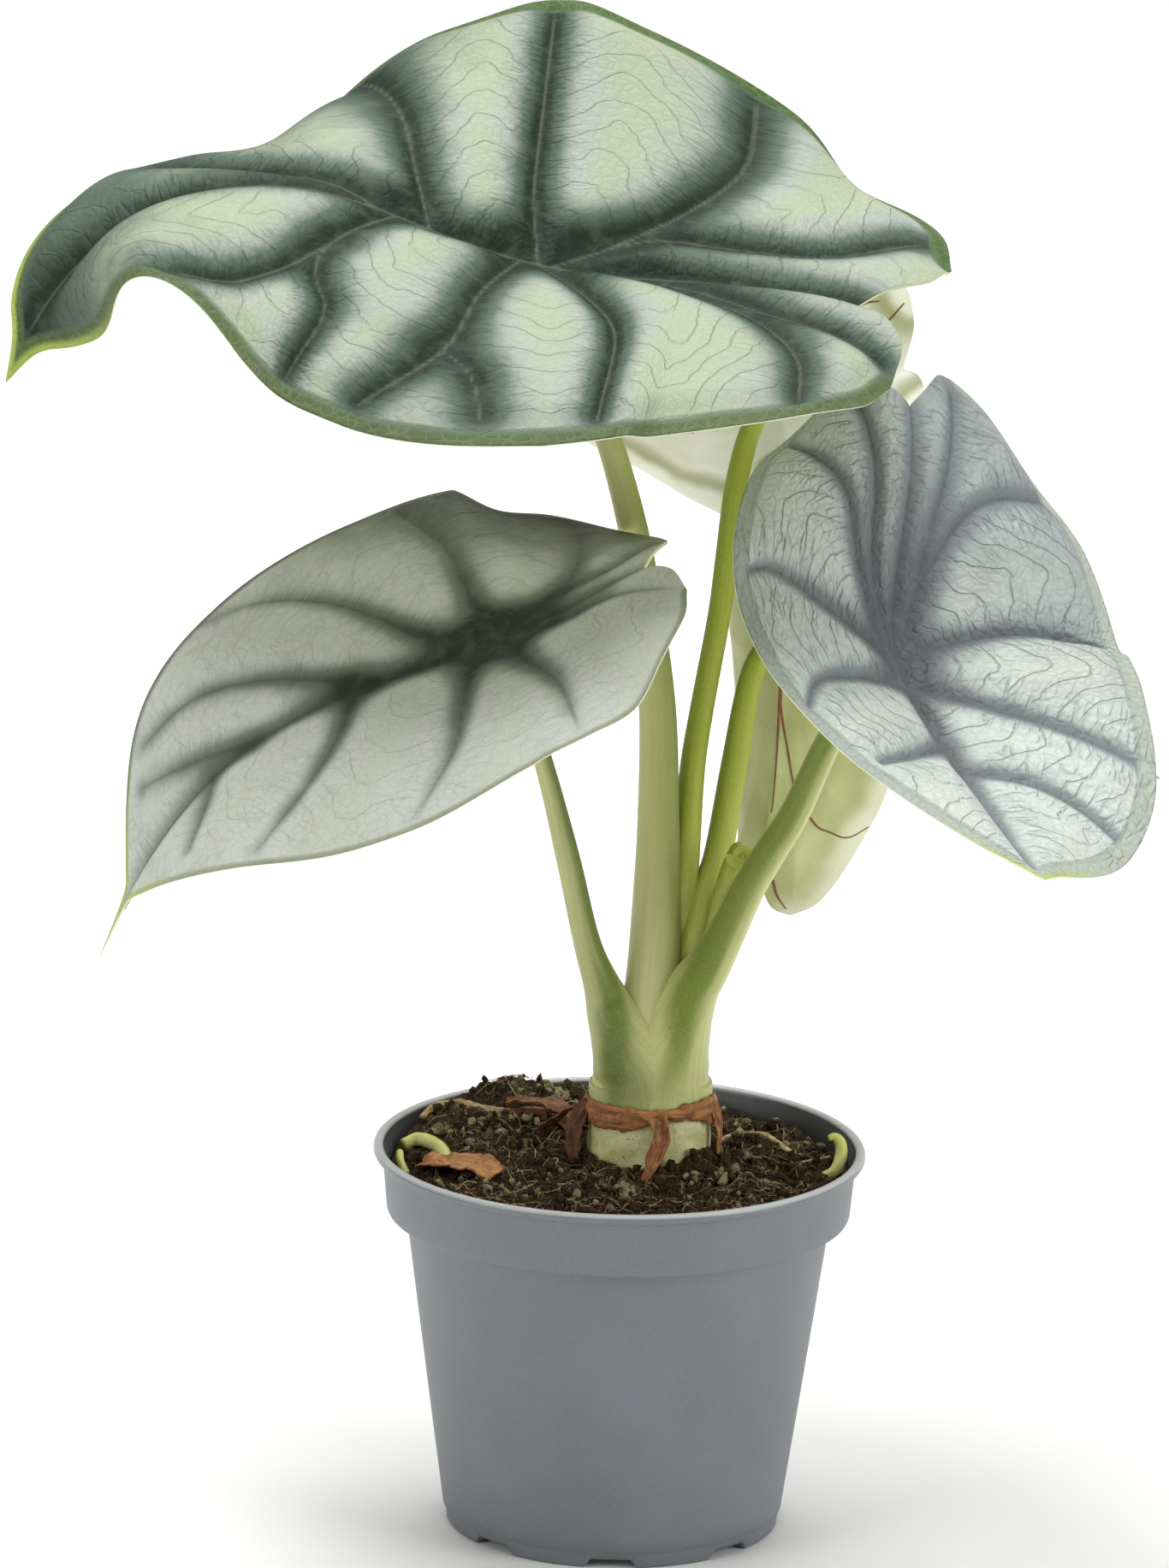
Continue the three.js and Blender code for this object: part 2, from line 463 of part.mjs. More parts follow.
// A blade's smooth surface. A point u along the midrib and v beside it, in mm on the flat blade, is
// carried to the bent midrib, out along an arc that starts at the fold angle and turns by the curl,
// and then turned by roll, pitch and heading and moved to the stalk's end.
function bladeSurface(blade) {
  const steps = 160;
  const reach = 1.1;
  const at = (values, q) => rad(stationValue(values, (q + 1) / 2));
  const direction = (q) => {
    const [p, y] = [at(blade.rise, q), at(blade.swing, q)];
    return [Math.cos(p) * Math.cos(y), Math.cos(p) * Math.sin(y), Math.sin(p)];
  };
  const spine = [[0, 0, 0]];
  for (let i = 0; i < 2 * steps; i += 1) {
    const q = -reach + (reach * (i + 0.5)) / steps;
    const length = ((q < 0 ? blade.back : blade.front) * reach) / steps;
    spine.push(direction(q).map((d, k) => spine[i][k] + d * length));
  }
  const origin = spine[steps];
  const [h, p, r] = [rad(blade.heading), rad(blade.pitch), rad(blade.roll)];
  const forward = new THREE.Vector3(Math.cos(p) * Math.cos(h), Math.cos(p) * Math.sin(h), Math.sin(p));
  const level = new THREE.Vector3(-Math.sin(h), Math.cos(h), 0);
  const left = level.clone().multiplyScalar(Math.cos(r));
  left.addScaledVector(forward.clone().cross(level), Math.sin(r));
  const up = forward.clone().cross(left);
  return (u, v) => {
    const q = u < 0 ? u / blade.back : u / blade.front;
    const x = Math.min(Math.max(((q + reach) / reach) * steps, 0), 2 * steps - 1e-6);
    const i = Math.floor(x);
    const m = spine[i].map((s, k) => s + (x - i) * (spine[i + 1][k] - s) - origin[k]);
    const [pitch, yaw] = [at(blade.rise, q), at(blade.swing, q)];
    const side = v < 0 ? 'Right' : 'Left';
    const share = v < 0 ? blade.rightShare ?? 1 : 1;
    const d = Math.abs(v) * share;
    const half = (at(blade[`curl${side}`], q) * d) / (2 * blade.half);
    const chord = Math.abs(half) < 1e-6 ? d : (d * Math.sin(half)) / half;
    const angle = at(blade[`fold${side}`], q) + half;
    const out = Math.sign(v) * chord * Math.cos(angle);
    const rise = chord * Math.sin(angle);
    const local = [
      m[0] - out * Math.sin(yaw) - rise * Math.sin(pitch) * Math.cos(yaw),
      m[1] + out * Math.cos(yaw) - rise * Math.sin(pitch) * Math.sin(yaw),
      m[2] + rise * Math.cos(pitch),
    ];
    const point = new THREE.Vector3(...blade.attach);
    point.addScaledVector(forward, local[0]).addScaledVector(left, local[1]);
    return point.addScaledVector(up, local[2]);
  };
}

// Least distance from a flat point to a line of flat points
function distanceTo(lines, u, v) {
  let best = Infinity;
  for (const line of lines) {
    for (let i = 1; i < line.length; i += 1) {
      const [ax, ay] = line[i - 1];
      const [dx, dy] = [line[i][0] - ax, line[i][1] - ay];
      const t = Math.min(Math.max(((u - ax) * dx + (v - ay) * dy) / (dx * dx + dy * dy + 1e-9), 0), 1);
      best = Math.min(best, Math.hypot(u - ax - t * dx, v - ay - t * dy));
    }
  }
  return best;
}

// A blade: rows from the back lobes to the tip and columns from the midrib or sinus to the margin,
// alike on both faces, with the panels puffed up between the veins
function bladeGeometry(blade, thickness) {
  const surface = bladeSurface(blade);
  const flat = ([q, w]) => [q * (q < 0 ? blade.back : blade.front), w * blade.half];
  const lines = blade.veins.map((vein) => curveRows(vein, 6).map(flat));
  lines.push([flat([SINUS[0][0], 0]), flat([TIP_REACH, 0])]);
  const edge = [1, -1].map((s) => MARGIN_CURVE.map(([q, w]) => flat([q, s * w])));
  const swell = (u, v) => {
    const rise = 1 - Math.exp(-((distanceTo(lines, u, v) / VEIN_VALLEY) ** 1.5));
    const fade = THREE.MathUtils.smoothstep(distanceTo(edge, u, v), 0, MARGIN_FADE);
    return blade.puff * rise * fade;
  };
  const sinusRow = 3;
  const rowShare = (i) => {
    if (i < sinusRow) return -1 + (SINUS[0][0] + 1) * (i / sinusRow) ** 1.6;
    const t = (i - sinusRow) / (blade.rows - sinusRow);
    return SINUS[0][0] + (TIP_REACH - SINUS[0][0]) * t;
  };
  const faces = { top: [], under: [] };
  const keys = new Map();
  const vertex = (side, i, j) => {
    const shared = i === blade.rows ? 'tip' : (i >= sinusRow && j === 0 && `mid${i}`);
    const key = shared || (i === 0 ? `lobe${side}` : `${side},${i},${j}`);
    if (keys.has(key)) return keys.get(key);
    const q = rowShare(i);
    const inner = i < sinusRow ? shareAt(SINUS_CURVE, q) : 0;
    const share = inner + (shareAt(MARGIN_CURVE, q) - inner) * (j / blade.columns);
    const [u, v] = flat([q, side * share]);
    const step = 0.5;
    const tangent = surface(u + step, v).sub(surface(u - step, v));
    const across = surface(u, v + step).sub(surface(u, v - step));
    const normal = tangent.cross(across).normalize();
    const base = surface(u, v).addScaledVector(normal, swell(u, v));
    faces.top.push(base.clone().addScaledVector(normal, thickness / 2).toArray());
    faces.under.push(base.addScaledVector(normal, -thickness / 2).toArray());
    keys.set(key, faces.top.length - 1);
    return faces.top.length - 1;
  };
  const tops = [];
  const face = (a, b, c) => {
    if (a !== b && b !== c && a !== c) tops.push([a, b, c]);
  };
  for (const side of [1, -1]) {
    for (let i = 0; i < blade.rows; i += 1) {
      for (let j = 0; j < blade.columns; j += 1) {
        const [a, b] = [vertex(side, i, j), vertex(side, i + 1, j)];
        const [c, d] = [vertex(side, i + 1, j + 1), vertex(side, i, j + 1)];
        if (side === 1) {
          face(a, b, c);
          face(a, c, d);
        } else {
          face(a, c, b);
          face(a, d, c);
        }
      }
    }
  }
  const count = faces.top.length;
  const edges = new Map();
  for (const tri of tops) {
    tri.forEach((a, k) => edges.set(`${a},${tri[(k + 1) % 3]}`, [a, tri[(k + 1) % 3]]));
  }
  const triangles = [];
  for (const [a, b, c] of tops) triangles.push(a, b, c, a + count, c + count, b + count);
  for (const [a, b] of edges.values()) {
    if (!edges.has(`${b},${a}`)) triangles.push(a, a + count, b + count, a, b + count, b);
  }
  return indexedGeometry([...faces.top, ...faces.under], triangles);
}

// The dry sheath: a wavy band round the stem with a strip that hangs from it onto the soil
function sheathGeometry() {
  const sectors = 40;
  const points = [];
  const triangles = [];
  for (let j = 0; j < sectors; j += 1) {
    const a = (2 * Math.PI * j) / sectors;
    const wave = 0.5 + 0.5 * Math.sin(5 * a + 1);
    const low = SHEATH_BOTTOM + 0.9 * Math.sin(3 * a);
    const high = SHEATH_TOP + 0.7 * Math.sin(4 * a + 2);
    const inner = GAP + 0.1;
    const outer = inner + SHEATH_WALL + 0.5 * wave;
    for (const [offset, z] of [[inner, low], [outer, low], [outer, high], [inner, high]]) {
      points.push([STEM_CENTRE[0] + (STEM_HALF_WIDTH + 0.2 + offset) * Math.cos(a),
        STEM_CENTRE[1] + (STEM_HALF_DEPTH + 0.2 + offset) * Math.sin(a), z]);
    }
  }
  for (let j = 0; j < sectors; j += 1) {
    const n = (j + 1) % sectors;
    for (let k = 0; k < 4; k += 1) {
      const m = (k + 1) % 4;
      triangles.push(4 * j + k, 4 * n + k, 4 * n + m, 4 * j + k, 4 * n + m, 4 * j + m);
    }
  }
  let band = solidOf(indexedGeometry(points, triangles));
  band = band.add(solidOf(loft(SHEATH_STRIP, 2, 8)));
  return band;
}

const stemLine = [[...STEM_CENTRE, STEM_ROOT, 9, 9], [...STEM_CENTRE, 84, 13.2, 11.8],
  [...STEM_CENTRE, 93, STEM_HALF_WIDTH, STEM_HALF_DEPTH], [...STEM_CENTRE, STEM_TOP, 14.4, 12.9]];

const group = new THREE.Group();
function addPiece(name, finish, geometry) {
  const material = new THREE.MeshStandardMaterial({ ...FINISHES[finish], metalness: 0 });
  material.name = finish;
  const mesh = new THREE.Mesh(geometry, material);
  mesh.name = name;
  group.add(mesh);
}

const lying = {
  dried_stalk: ['dry', overSoil(DRIED_STALK)],
  dry_scale: ['dry', overSoil(SCALE_LINE)],
  root_right: ['root', overSoil(ROOT_RIGHT)],
  root_thin: ['root', overSoil(ROOT_THIN)],
  green_stub: ['shoot', overSoil(GREEN_STUB)],
  pale_stub: ['shoot', overSoil(PALE_STUB)],
  sprout: ['shoot', overSoil(SPROUT)],
};
const sheath = sheathGeometry();
const sheathCutter = solidOf(loft(SHEATH_STRIP, 2, 8, GAP));
const beds = Object.values(lying).map(([, line]) => solidOf(loft(line, 2, 8, GAP)));
const stemCutter = solidOf(loft(stemLine, 2, 20, GAP));

addPiece('pot', 'pot', potGeometry());
addPiece('soil', 'soil', soilGeometry([stemCutter, sheathCutter, ...beds]));
addPiece('stem_base', 'rhizome', loft(stemLine, 2, 20));

const passed = [];
for (const [name, stalk] of Object.entries(STALKS)) {
  let solid = solidOf(loft(stalk.line, 2, 10));
  for (const cutter of passed) solid = solid.subtract(cutter);
  solid = solid.subtract(solidOf(bladeGeometry(BLADES[stalk.blade], BLADE_THICKNESS + 2 * GAP)));
  addPiece(name, 'stalk', geometryOf(largest(solid)));
  passed.push(solidOf(loft(stalk.line, 2, 10, GAP)));
}
let dryBand = sheath.subtract(stemCutter);
for (const cutter of passed) dryBand = dryBand.subtract(cutter);
let shoot = solidOf(loft(SHOOT_LINE, 2, 10));
for (const cutter of passed) shoot = shoot.subtract(cutter);
addPiece('new_shoot', 'stalk', geometryOf(largest(shoot)));

for (const [name, blade] of Object.entries(BLADES)) {
  addPiece(name, 'blade', bladeGeometry(blade, BLADE_THICKNESS));
}
addPiece('dry_sheath', 'dry', geometryOf(largest(dryBand)));
for (const [name, [finish, line]] of Object.entries(lying)) {
  addPiece(name, finish, loft(line, 2, 8));
}

export default group;
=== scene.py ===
"""A potted silver dragon alocasia, dressed over its CAD frame.

Every piece is a surface worked out in millimetres from a formula and set in metres in the frame's
own axes: +Z up, +X to the plant's right, the origin under the middle of the pot.
"""

import math
from functools import partial

import bpy
import numpy as np
from mathutils import Matrix, Vector


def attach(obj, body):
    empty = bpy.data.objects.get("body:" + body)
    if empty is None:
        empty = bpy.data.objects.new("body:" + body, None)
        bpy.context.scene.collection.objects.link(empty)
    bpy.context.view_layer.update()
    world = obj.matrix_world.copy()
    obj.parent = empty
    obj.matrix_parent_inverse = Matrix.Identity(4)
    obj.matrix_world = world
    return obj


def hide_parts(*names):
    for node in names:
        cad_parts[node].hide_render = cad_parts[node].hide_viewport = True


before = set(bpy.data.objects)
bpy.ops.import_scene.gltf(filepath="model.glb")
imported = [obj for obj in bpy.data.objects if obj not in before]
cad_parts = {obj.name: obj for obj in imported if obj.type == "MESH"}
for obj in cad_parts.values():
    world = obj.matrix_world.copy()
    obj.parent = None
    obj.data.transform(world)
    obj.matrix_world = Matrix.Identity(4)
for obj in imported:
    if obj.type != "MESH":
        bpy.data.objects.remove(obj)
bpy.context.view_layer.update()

bl_info = {
    "name": "Silver Dragon Alocasia",
    "version": (1, 0, 0),
    "blender": (4, 5, 0),
    "location": "View3D > Sidebar > Alocasia",
    "description": "Builds a potted silver dragon alocasia: pot, soil, stalks and puckered leaves",
    "category": "Add Mesh",
}

MM = 0.001
BODY = "root"

# The stem's middle and the soil's reach in mm, as the frame has them: the half width and depth of
# the hollow that the stem stands in, and of the place round it that crumbs and fibres leave free
STEM_CENTRE = (7.2, 0)
STEM_HOLLOW = (15.6, 14)
STEM_CLEAR = (16.5, 15)
SOIL_RADIUS = 55.4
SOIL_FLOOR = 3.2

# The pot's drain holes and foot notches in mm
DRAIN_HOLES = 8
DRAIN_CIRCLE = 31.2
DRAIN_RADIUS = 3.4
NOTCH_HEIGHT = 2.3
NOTCH_HALF_ANGLE = math.radians(8.9)

# How a blade's surface swells, in mm: how far from a vein a panel rises, how far in it starts at
# the margin, how wide the crease on a vein is, and how softly two panels meet
PANEL_RISE = 7
MARGIN_FADE = 12
CREASE_WIDTH = 1.6
PANEL_MEETING = 2.5

# Half outline of a blade as shares of its length and half width: the sinus side of a back lobe,
# the margin from the lobe's end forward, and the tip
SINUS = [(-0.83, 0), (-0.885, 0.07), (-0.97, 0.2), (-1, 0.38)]
MARGIN = [(-1, 0.38), (-0.93, 0.6), (-0.7, 0.82), (-0.35, 0.96), (0, 1), (0.22, 0.97), (0.45, 0.84)]
TIP = [(0.66, 0.6), (0.83, 0.32), (0.93, 0.13), (1.02, 0)]

# What the two blades that face away share, with the veins of one half mirrored on the other
PLAIN_VEINS = [
    [(0, 0), (-0.3, 0.12), (-0.6, 0.2), (-0.94, 0.35)],
    [(-0.12, 0.05), (-0.4, 0.28), (-0.58, 0.55), (-0.6, 0.82)],
    [(0, 0), (-0.06, 0.3), (-0.08, 0.62), (-0.02, 0.95)],
    [(0.12, 0), (0.2, 0.32), (0.28, 0.6), (0.4, 0.85)],
    [(0.38, 0), (0.46, 0.24), (0.56, 0.44), (0.68, 0.55)],
]
PLAIN = dict(
    right_share=1, bands=(5, 3, 0.6, 0.3), heart=9, slanting_shade=(0, 0, 0, 0), gloom=0, crease=0.3, arcs=6,
    rows=140, columns=44, tip=TIP, veins=PLAIN_VEINS + [[(q, -w) for q, w in vein] for vein in PLAIN_VEINS])

# The blades as the frame has them. attach is the point over the stalk, and heading, pitch and roll
# turn the blade there, in degrees. front, back and half are its lengths and half width in mm, and
# right_share is the share of that half width on its right. rise to curl_right are its bends in
# degrees at nine even stations from the back lobes to the tip. crease and puff are how far veins
# sink and panels swell, in mm, and rows and columns are the steps of a half. The dark tissue has
# bands along the veins, with their width in mm at the heart and at the margin and their strength at
# both, a heart of that radius in mm, and a gloom at the tip; over it lies a slanting stretch of
# painted shade, with its shares of length and half width, its start and its strength. arcs is the
# spacing of the small veins in mm. ridge is the radius of the raised veins beneath, and tip, veins
# and ridges are lines in shares like the outline.
BLADES = {
    "blade_top": dict(
        attach=(-24, 0, 312.5), heading=181.5, pitch=4.5, roll=-5,
        front=144, back=92.5, half=91, right_share=1,
        rise=(32, 4, -3, -2, 9, 17, -9, -43, -70), swing=(-8, -8, -12, -2, 3, -1, -1, 6, 22),
        fold_left=(-5, -2, 0, 3, 1, -6, -8, -1, -46), fold_right=(21, 11, 13, 23, 26, 17, -4, 6, 19),
        curl_left=(-5, -13, -21, -22, -24, -28, -26, 5, -22),
        curl_right=(-29, -13, 5, 7, 7, -1, -22, -26, -19),
        bands=(7.1, 6.2, 0.97, 0.82), heart=12, slanting_shade=(0.85, -0.4, 0.15, 0.58), gloom=0.14,
        crease=0.5, puff=4.2, arcs=8, rows=270, columns=80,
        tip=[(0.66, 0.6), (0.83, 0.33), (0.93, 0.15), (0.98, 0.05), (1.05, 0)],
        veins=[
            [(0, 0), (-0.11, 0.2), (-0.19, 0.4), (-0.2, 0.58), (-0.15, 0.91)],
            [(-0.16, 0), (-0.39, 0.07), (-0.64, 0.2), (-0.8, 0.25), (-0.95, 0.3)],
            [(-0.22, 0.02), (-0.42, 0.13), (-0.6, 0.24), (-0.73, 0.45), (-0.77, 0.7)],
            [(0.03, 0), (0.1, 0.31), (0.14, 0.62), (0.23, 0.88)],
            [(0.14, 0.62), (0.1, 0.72), (0.08, 0.9)],
            [(0.25, 0), (0.35, 0.28), (0.36, 0.43), (0.33, 0.58), (0.38, 0.83)],
            [(0.35, 0.28), (0.42, 0.41), (0.53, 0.5), (0.67, 0.56)],
            [(0, 0), (0.02, -0.28), (0.02, -0.61), (0.02, -0.96)],
            [(0.19, 0), (0.24, -0.25), (0.28, -0.51), (0.35, -0.88)],
            [(0.28, 0), (0.37, -0.07), (0.5, -0.16), (0.64, -0.4)],
            [(-0.03, 0), (-0.18, -0.11), (-0.34, -0.28), (-0.44, -0.56), (-0.43, -0.9)],
            [(-0.08, -0.04), (-0.28, -0.16), (-0.5, -0.19), (-0.74, -0.25), (-0.92, -0.45)],
        ],
    ),
    "blade_left": dict(
        attach=(-31, -42, 230.5), heading=180, pitch=-31.5, roll=-17.5,
        front=121.5, back=46, half=61.5, right_share=1,
        rise=(14, 5, 2, 5, 10, 9, -5, -26, -37), swing=(1, 3, 4, 3, 0, -4, -2, -1, -2),
        fold_left=(11, 11, 8, 8, 6, 1, 0, 7, 19), fold_right=(-16, -11, -3, 4, 13, 17, 21, 22, 9),
        curl_left=(-15, -18, -19, -14, -10, -14, -19, -20, -16),
        curl_right=(-19, -11, -7, -9, -9, -14, -17, -6, -4),
        bands=(5.6, 2.6, 0.97, 0.17), heart=10, slanting_shade=(-0.7, -0.75, 0.08, 0.95), gloom=0.14,
        crease=0.45, puff=1.5, arcs=9, rows=210, columns=60,
        tip=[(0.66, 0.6), (0.83, 0.31), (0.91, 0.13), (0.95, 0.045), (1.085, 0)],
        veins=[
            [(0, 0), (0.03, -0.31), (0.05, -0.62), (0.14, -0.95)],
            [(0.02, 0), (0.14, -0.16), (0.28, -0.46), (0.42, -0.67), (0.54, -0.74)],
            [(0.27, 0), (0.42, -0.21), (0.58, -0.38), (0.72, -0.4)],
            [(0.52, 0), (0.65, -0.13), (0.77, -0.26)],
            [(0, 0), (-0.3, -0.1), (-0.5, -0.27), (-0.58, -0.55), (-0.56, -0.8)],
            [(-0.05, 0), (-0.4, -0.13), (-0.69, -0.16), (-0.95, -0.34)],
            [(-0.04, 0), (-0.34, 0.08), (-0.62, 0.12), (-0.94, 0.33)],
            [(0, 0), (-0.1, 0.26), (-0.21, 0.55), (-0.22, 0.92)],
            [(0.05, 0), (0.09, 0.36), (0.13, 0.66), (0.22, 0.91)],
            [(0.3, 0), (0.34, 0.23), (0.42, 0.43), (0.57, 0.62)],
            [(0.63, 0), (0.66, 0.15), (0.72, 0.32)],
        ],
    ),
    "blade_right": dict(
        attach=(63.5, -38, 226.5), heading=-75, pitch=-30, roll=-13.5,
        front=100, back=79.5, half=58.5, right_share=0.72,
        rise=(-4, -23, -38, -33, -9, 8, 16, 22, 26), swing=(9, -1, -7, -7, 4, 8, 1, -5, -5),
        fold_left=(-13, -12, -3, 6, 12, 12, 6, -3, -7), fold_right=(-41, -27, -9, 4, 10, 13, 10, 6, 0),
        curl_left=(-40, -30, -20, -12, -5, -4, -10, -19, -23),
        curl_right=(-48, -40, -27, -16, -11, -9, -10, -11, -15),
        bands=(4.4, 2, 0.85, 0.5), heart=9, slanting_shade=(-0.75, 0.5, -0.5, 0.4), gloom=0,
        crease=1.0, puff=2.6, arcs=6.5, rows=220, columns=64, tip=TIP,
        veins=[
            [(0, 0), (-0.33, -0.16), (-0.58, -0.2), (-0.93, -0.3)],
            [(0, 0), (-0.2, 0.08), (-0.5, 0.13), (-0.93, 0.28)],
            [(-0.05, -0.08), (-0.32, -0.25), (-0.55, -0.39), (-0.76, -0.76)],
            [(0, 0), (-0.12, -0.36), (-0.22, -0.74), (-0.19, -0.95)],
            [(0.07, 0), (0.08, -0.38), (0.12, -0.68), (0.25, -0.9)],
            [(0.3, 0), (0.38, -0.29), (0.47, -0.6)],
            [(0, 0), (-0.09, 0.3), (-0.17, 0.62), (-0.14, 0.95)],
            [(-0.18, 0.06), (-0.47, 0.22), (-0.6, 0.42), (-0.68, 0.8)],
            [(0.07, 0), (0.16, 0.25), (0.3, 0.58), (0.42, 0.88)],
            [(0.4, 0), (0.47, 0.32), (0.64, 0.62)],
        ],
    ),
    "blade_rear": dict(
        PLAIN, attach=(33.5, 42, 274.5), heading=185, pitch=-5, roll=66,
        front=72, back=38.5, half=45,
        rise=(-14, -11, -8, -4, 2, 9, 14, 17, 19), swing=(-7, -4, -2, 0, 2, 2, 1, 1, 0),
        fold_left=(16, 14, 12, 12, 12, 12, 12, 12, 12), fold_right=(21, 15, 9, 4, 1, 6, 11, 13, 13),
        curl_left=(27, 26, 25, 25, 25, 25, 25, 25, 25), curl_right=(30, 24, 18, 13, 9, 14, 21, 23, 23),
        puff=1.6, ridge=0.42,
        ridges=[
            [(0, 0), (-0.3, 0.12), (-0.6, 0.2), (-0.94, 0.35)],
            [(-0.58, 0.4), (-0.68, 0.41), (-0.77, 0.4)],
            [(0.396, -0.39), (0.33, -0.37), (0.27, -0.34)],
        ],
    ),
    "blade_young": dict(
        PLAIN, attach=(36.9, 27.5, 217.5), heading=-95, pitch=91.5, roll=-3.5,
        front=52, back=74, half=32,
        rise=(-26, -12, -2, 1, 2, 2, 2, 1, 1), swing=(20, 12, 6, 1, 1, 5, 8, 9, 9),
        fold_left=(18, 19, 13, 11, 10, 11, 12, 12, 12), fold_right=(50, 39, 33, 30, 28, 27, 25, 23, 20),
        curl_left=(32, 28, 19, 17, 17, 19, 20, 20, 20), curl_right=(78, 72, 68, 64, 59, 53, 45, 38, 30),
        puff=1.2, ridge=0.38,
        ridges=[
            [(-0.1, 0), (-0.376, 0.004), (-0.61, 0.02)],
            [(-0.18, 0.005), (-0.28, 0.02), (-0.47, 0.13), (-0.6, 0.23)],
            [(-0.55, 0.19), (-0.587, 0.27), (-0.65, 0.4), (-0.67, 0.51), (-0.69, 0.67), (-0.65, 0.83)],
            [(-0.86, 0.15), (-0.92, 0.22), (-0.97, 0.32)],
        ],
    ),
}

# The leaf stalks: x, y, z of the middle line, half width and half depth of the section. The first
# rows are nearly the whole stem, so that the sheaths part from it one by one.
STALKS = {
    "stalk_right": [
        (7.3, 0, 104.6, 14.9, 13.1), (7.5, 0, 109, 14.8, 13.05), (8.3, -0.2, 115, 14, 12.8),
        (10.3, -0.5, 120, 12, 12.2), (12.6, -1, 125, 9.4, 11.2), (14.6, -1.6, 130, 7.7, 9.8),
        (17.2, -2.3, 136, 6.4, 8), (20.6, -3, 141.5, 5.4, 6.6), (25.3, -4.5, 151.5, 4.5, 5),
        (30, -7.5, 163, 4.1, 4.2), (35.6, -11, 174, 3.9, 3.9), (40.6, -15, 184, 3.6, 3.6),
        (48, -24, 204, 3.2, 3.2), (55.5, -32, 217.5, 3, 3), (62.9, -37.6, 225.2, 2, 2)],
    "stalk_left": [
        (7.1, 0, 104.6, 14.9, 13.1), (6.9, 0, 109, 14.8, 13.05), (6, -0.3, 115, 13.9, 12.8),
        (3.4, -0.7, 120, 12, 12.1), (0.2, -1.2, 125, 9, 10.8), (-2.8, -2, 130, 6.4, 8.6),
        (-5.2, -3, 136, 4.5, 6), (-9.1, -8, 148.5, 3.3, 3.7), (-14, -18, 172, 2.9, 3),
        (-19.9, -28, 197, 2.3, 2.4), (-25.5, -37, 216, 2.2, 2.2), (-30.8, -41.8, 229.2, 1.8, 1.8)],
    "stalk_top": [
        (7.2, 0, 104.6, 14.5, 12.6), (7.2, 0, 112, 13.9, 12.3), (7.2, 0.5, 120, 11.4, 11.3),
        (7.4, 1.5, 127, 8.8, 9.9), (7.4, 2.5, 136, 6.9, 7.6), (7.6, 4, 155, 5.9, 6.1),
        (7.6, 5.5, 175, 5.1, 5.2), (6.8, 8.5, 202, 4.5, 4.6), (3.5, 10.5, 227, 4, 4.1),
        (0, 10.5, 246, 3.6, 3.7), (-6, 7, 268, 3.2, 3.2), (-14.8, 3, 291, 2.9, 2.9),
        (-23.6, 0.2, 311, 2, 2)],
    "stalk_rear": [
        (10.5, 7, 124, 4.4, 4.4), (13, 7.5, 145, 4.2, 4.2), (14.4, 9, 166, 3.5, 3.5),
        (15.6, 14, 186, 3.1, 3.1), (17.6, 19, 200, 2.9, 2.9), (21.2, 24, 221.5, 2.8, 2.8),
        (22.8, 27.5, 235.5, 2.8, 2.8), (24.6, 32.5, 252, 2.7, 2.7), (28, 38, 265, 2.6, 2.6),
        (33.2, 41.8, 273.4, 1.8, 1.8)],
    "stalk_young": [
        (15, 4, 128, 4.2, 4), (17, 4.5, 143.5, 3.9, 3.8), (19.2, 8, 155.5, 3.7, 3.6),
        (22.3, 11, 165.5, 3.5, 3.5), (25.6, 15, 186, 3.3, 3.3), (29, 21, 206, 2.9, 2.9),
        (32.8, 25, 214, 2.7, 2.7), (36.4, 27.2, 216.6, 1.8, 1.8)],
    "new_shoot": [
        (20.5, 2, 138, 2.2, 2.2), (22, 2, 148.5, 2.5, 2.3), (23.6, 2, 157, 2.6, 2.3),
        (25.7, 1.6, 165, 2.5, 2.1), (27, 1, 170, 1.7, 1.5), (27.4, 1, 171.5, 0.4, 0.4)],
}

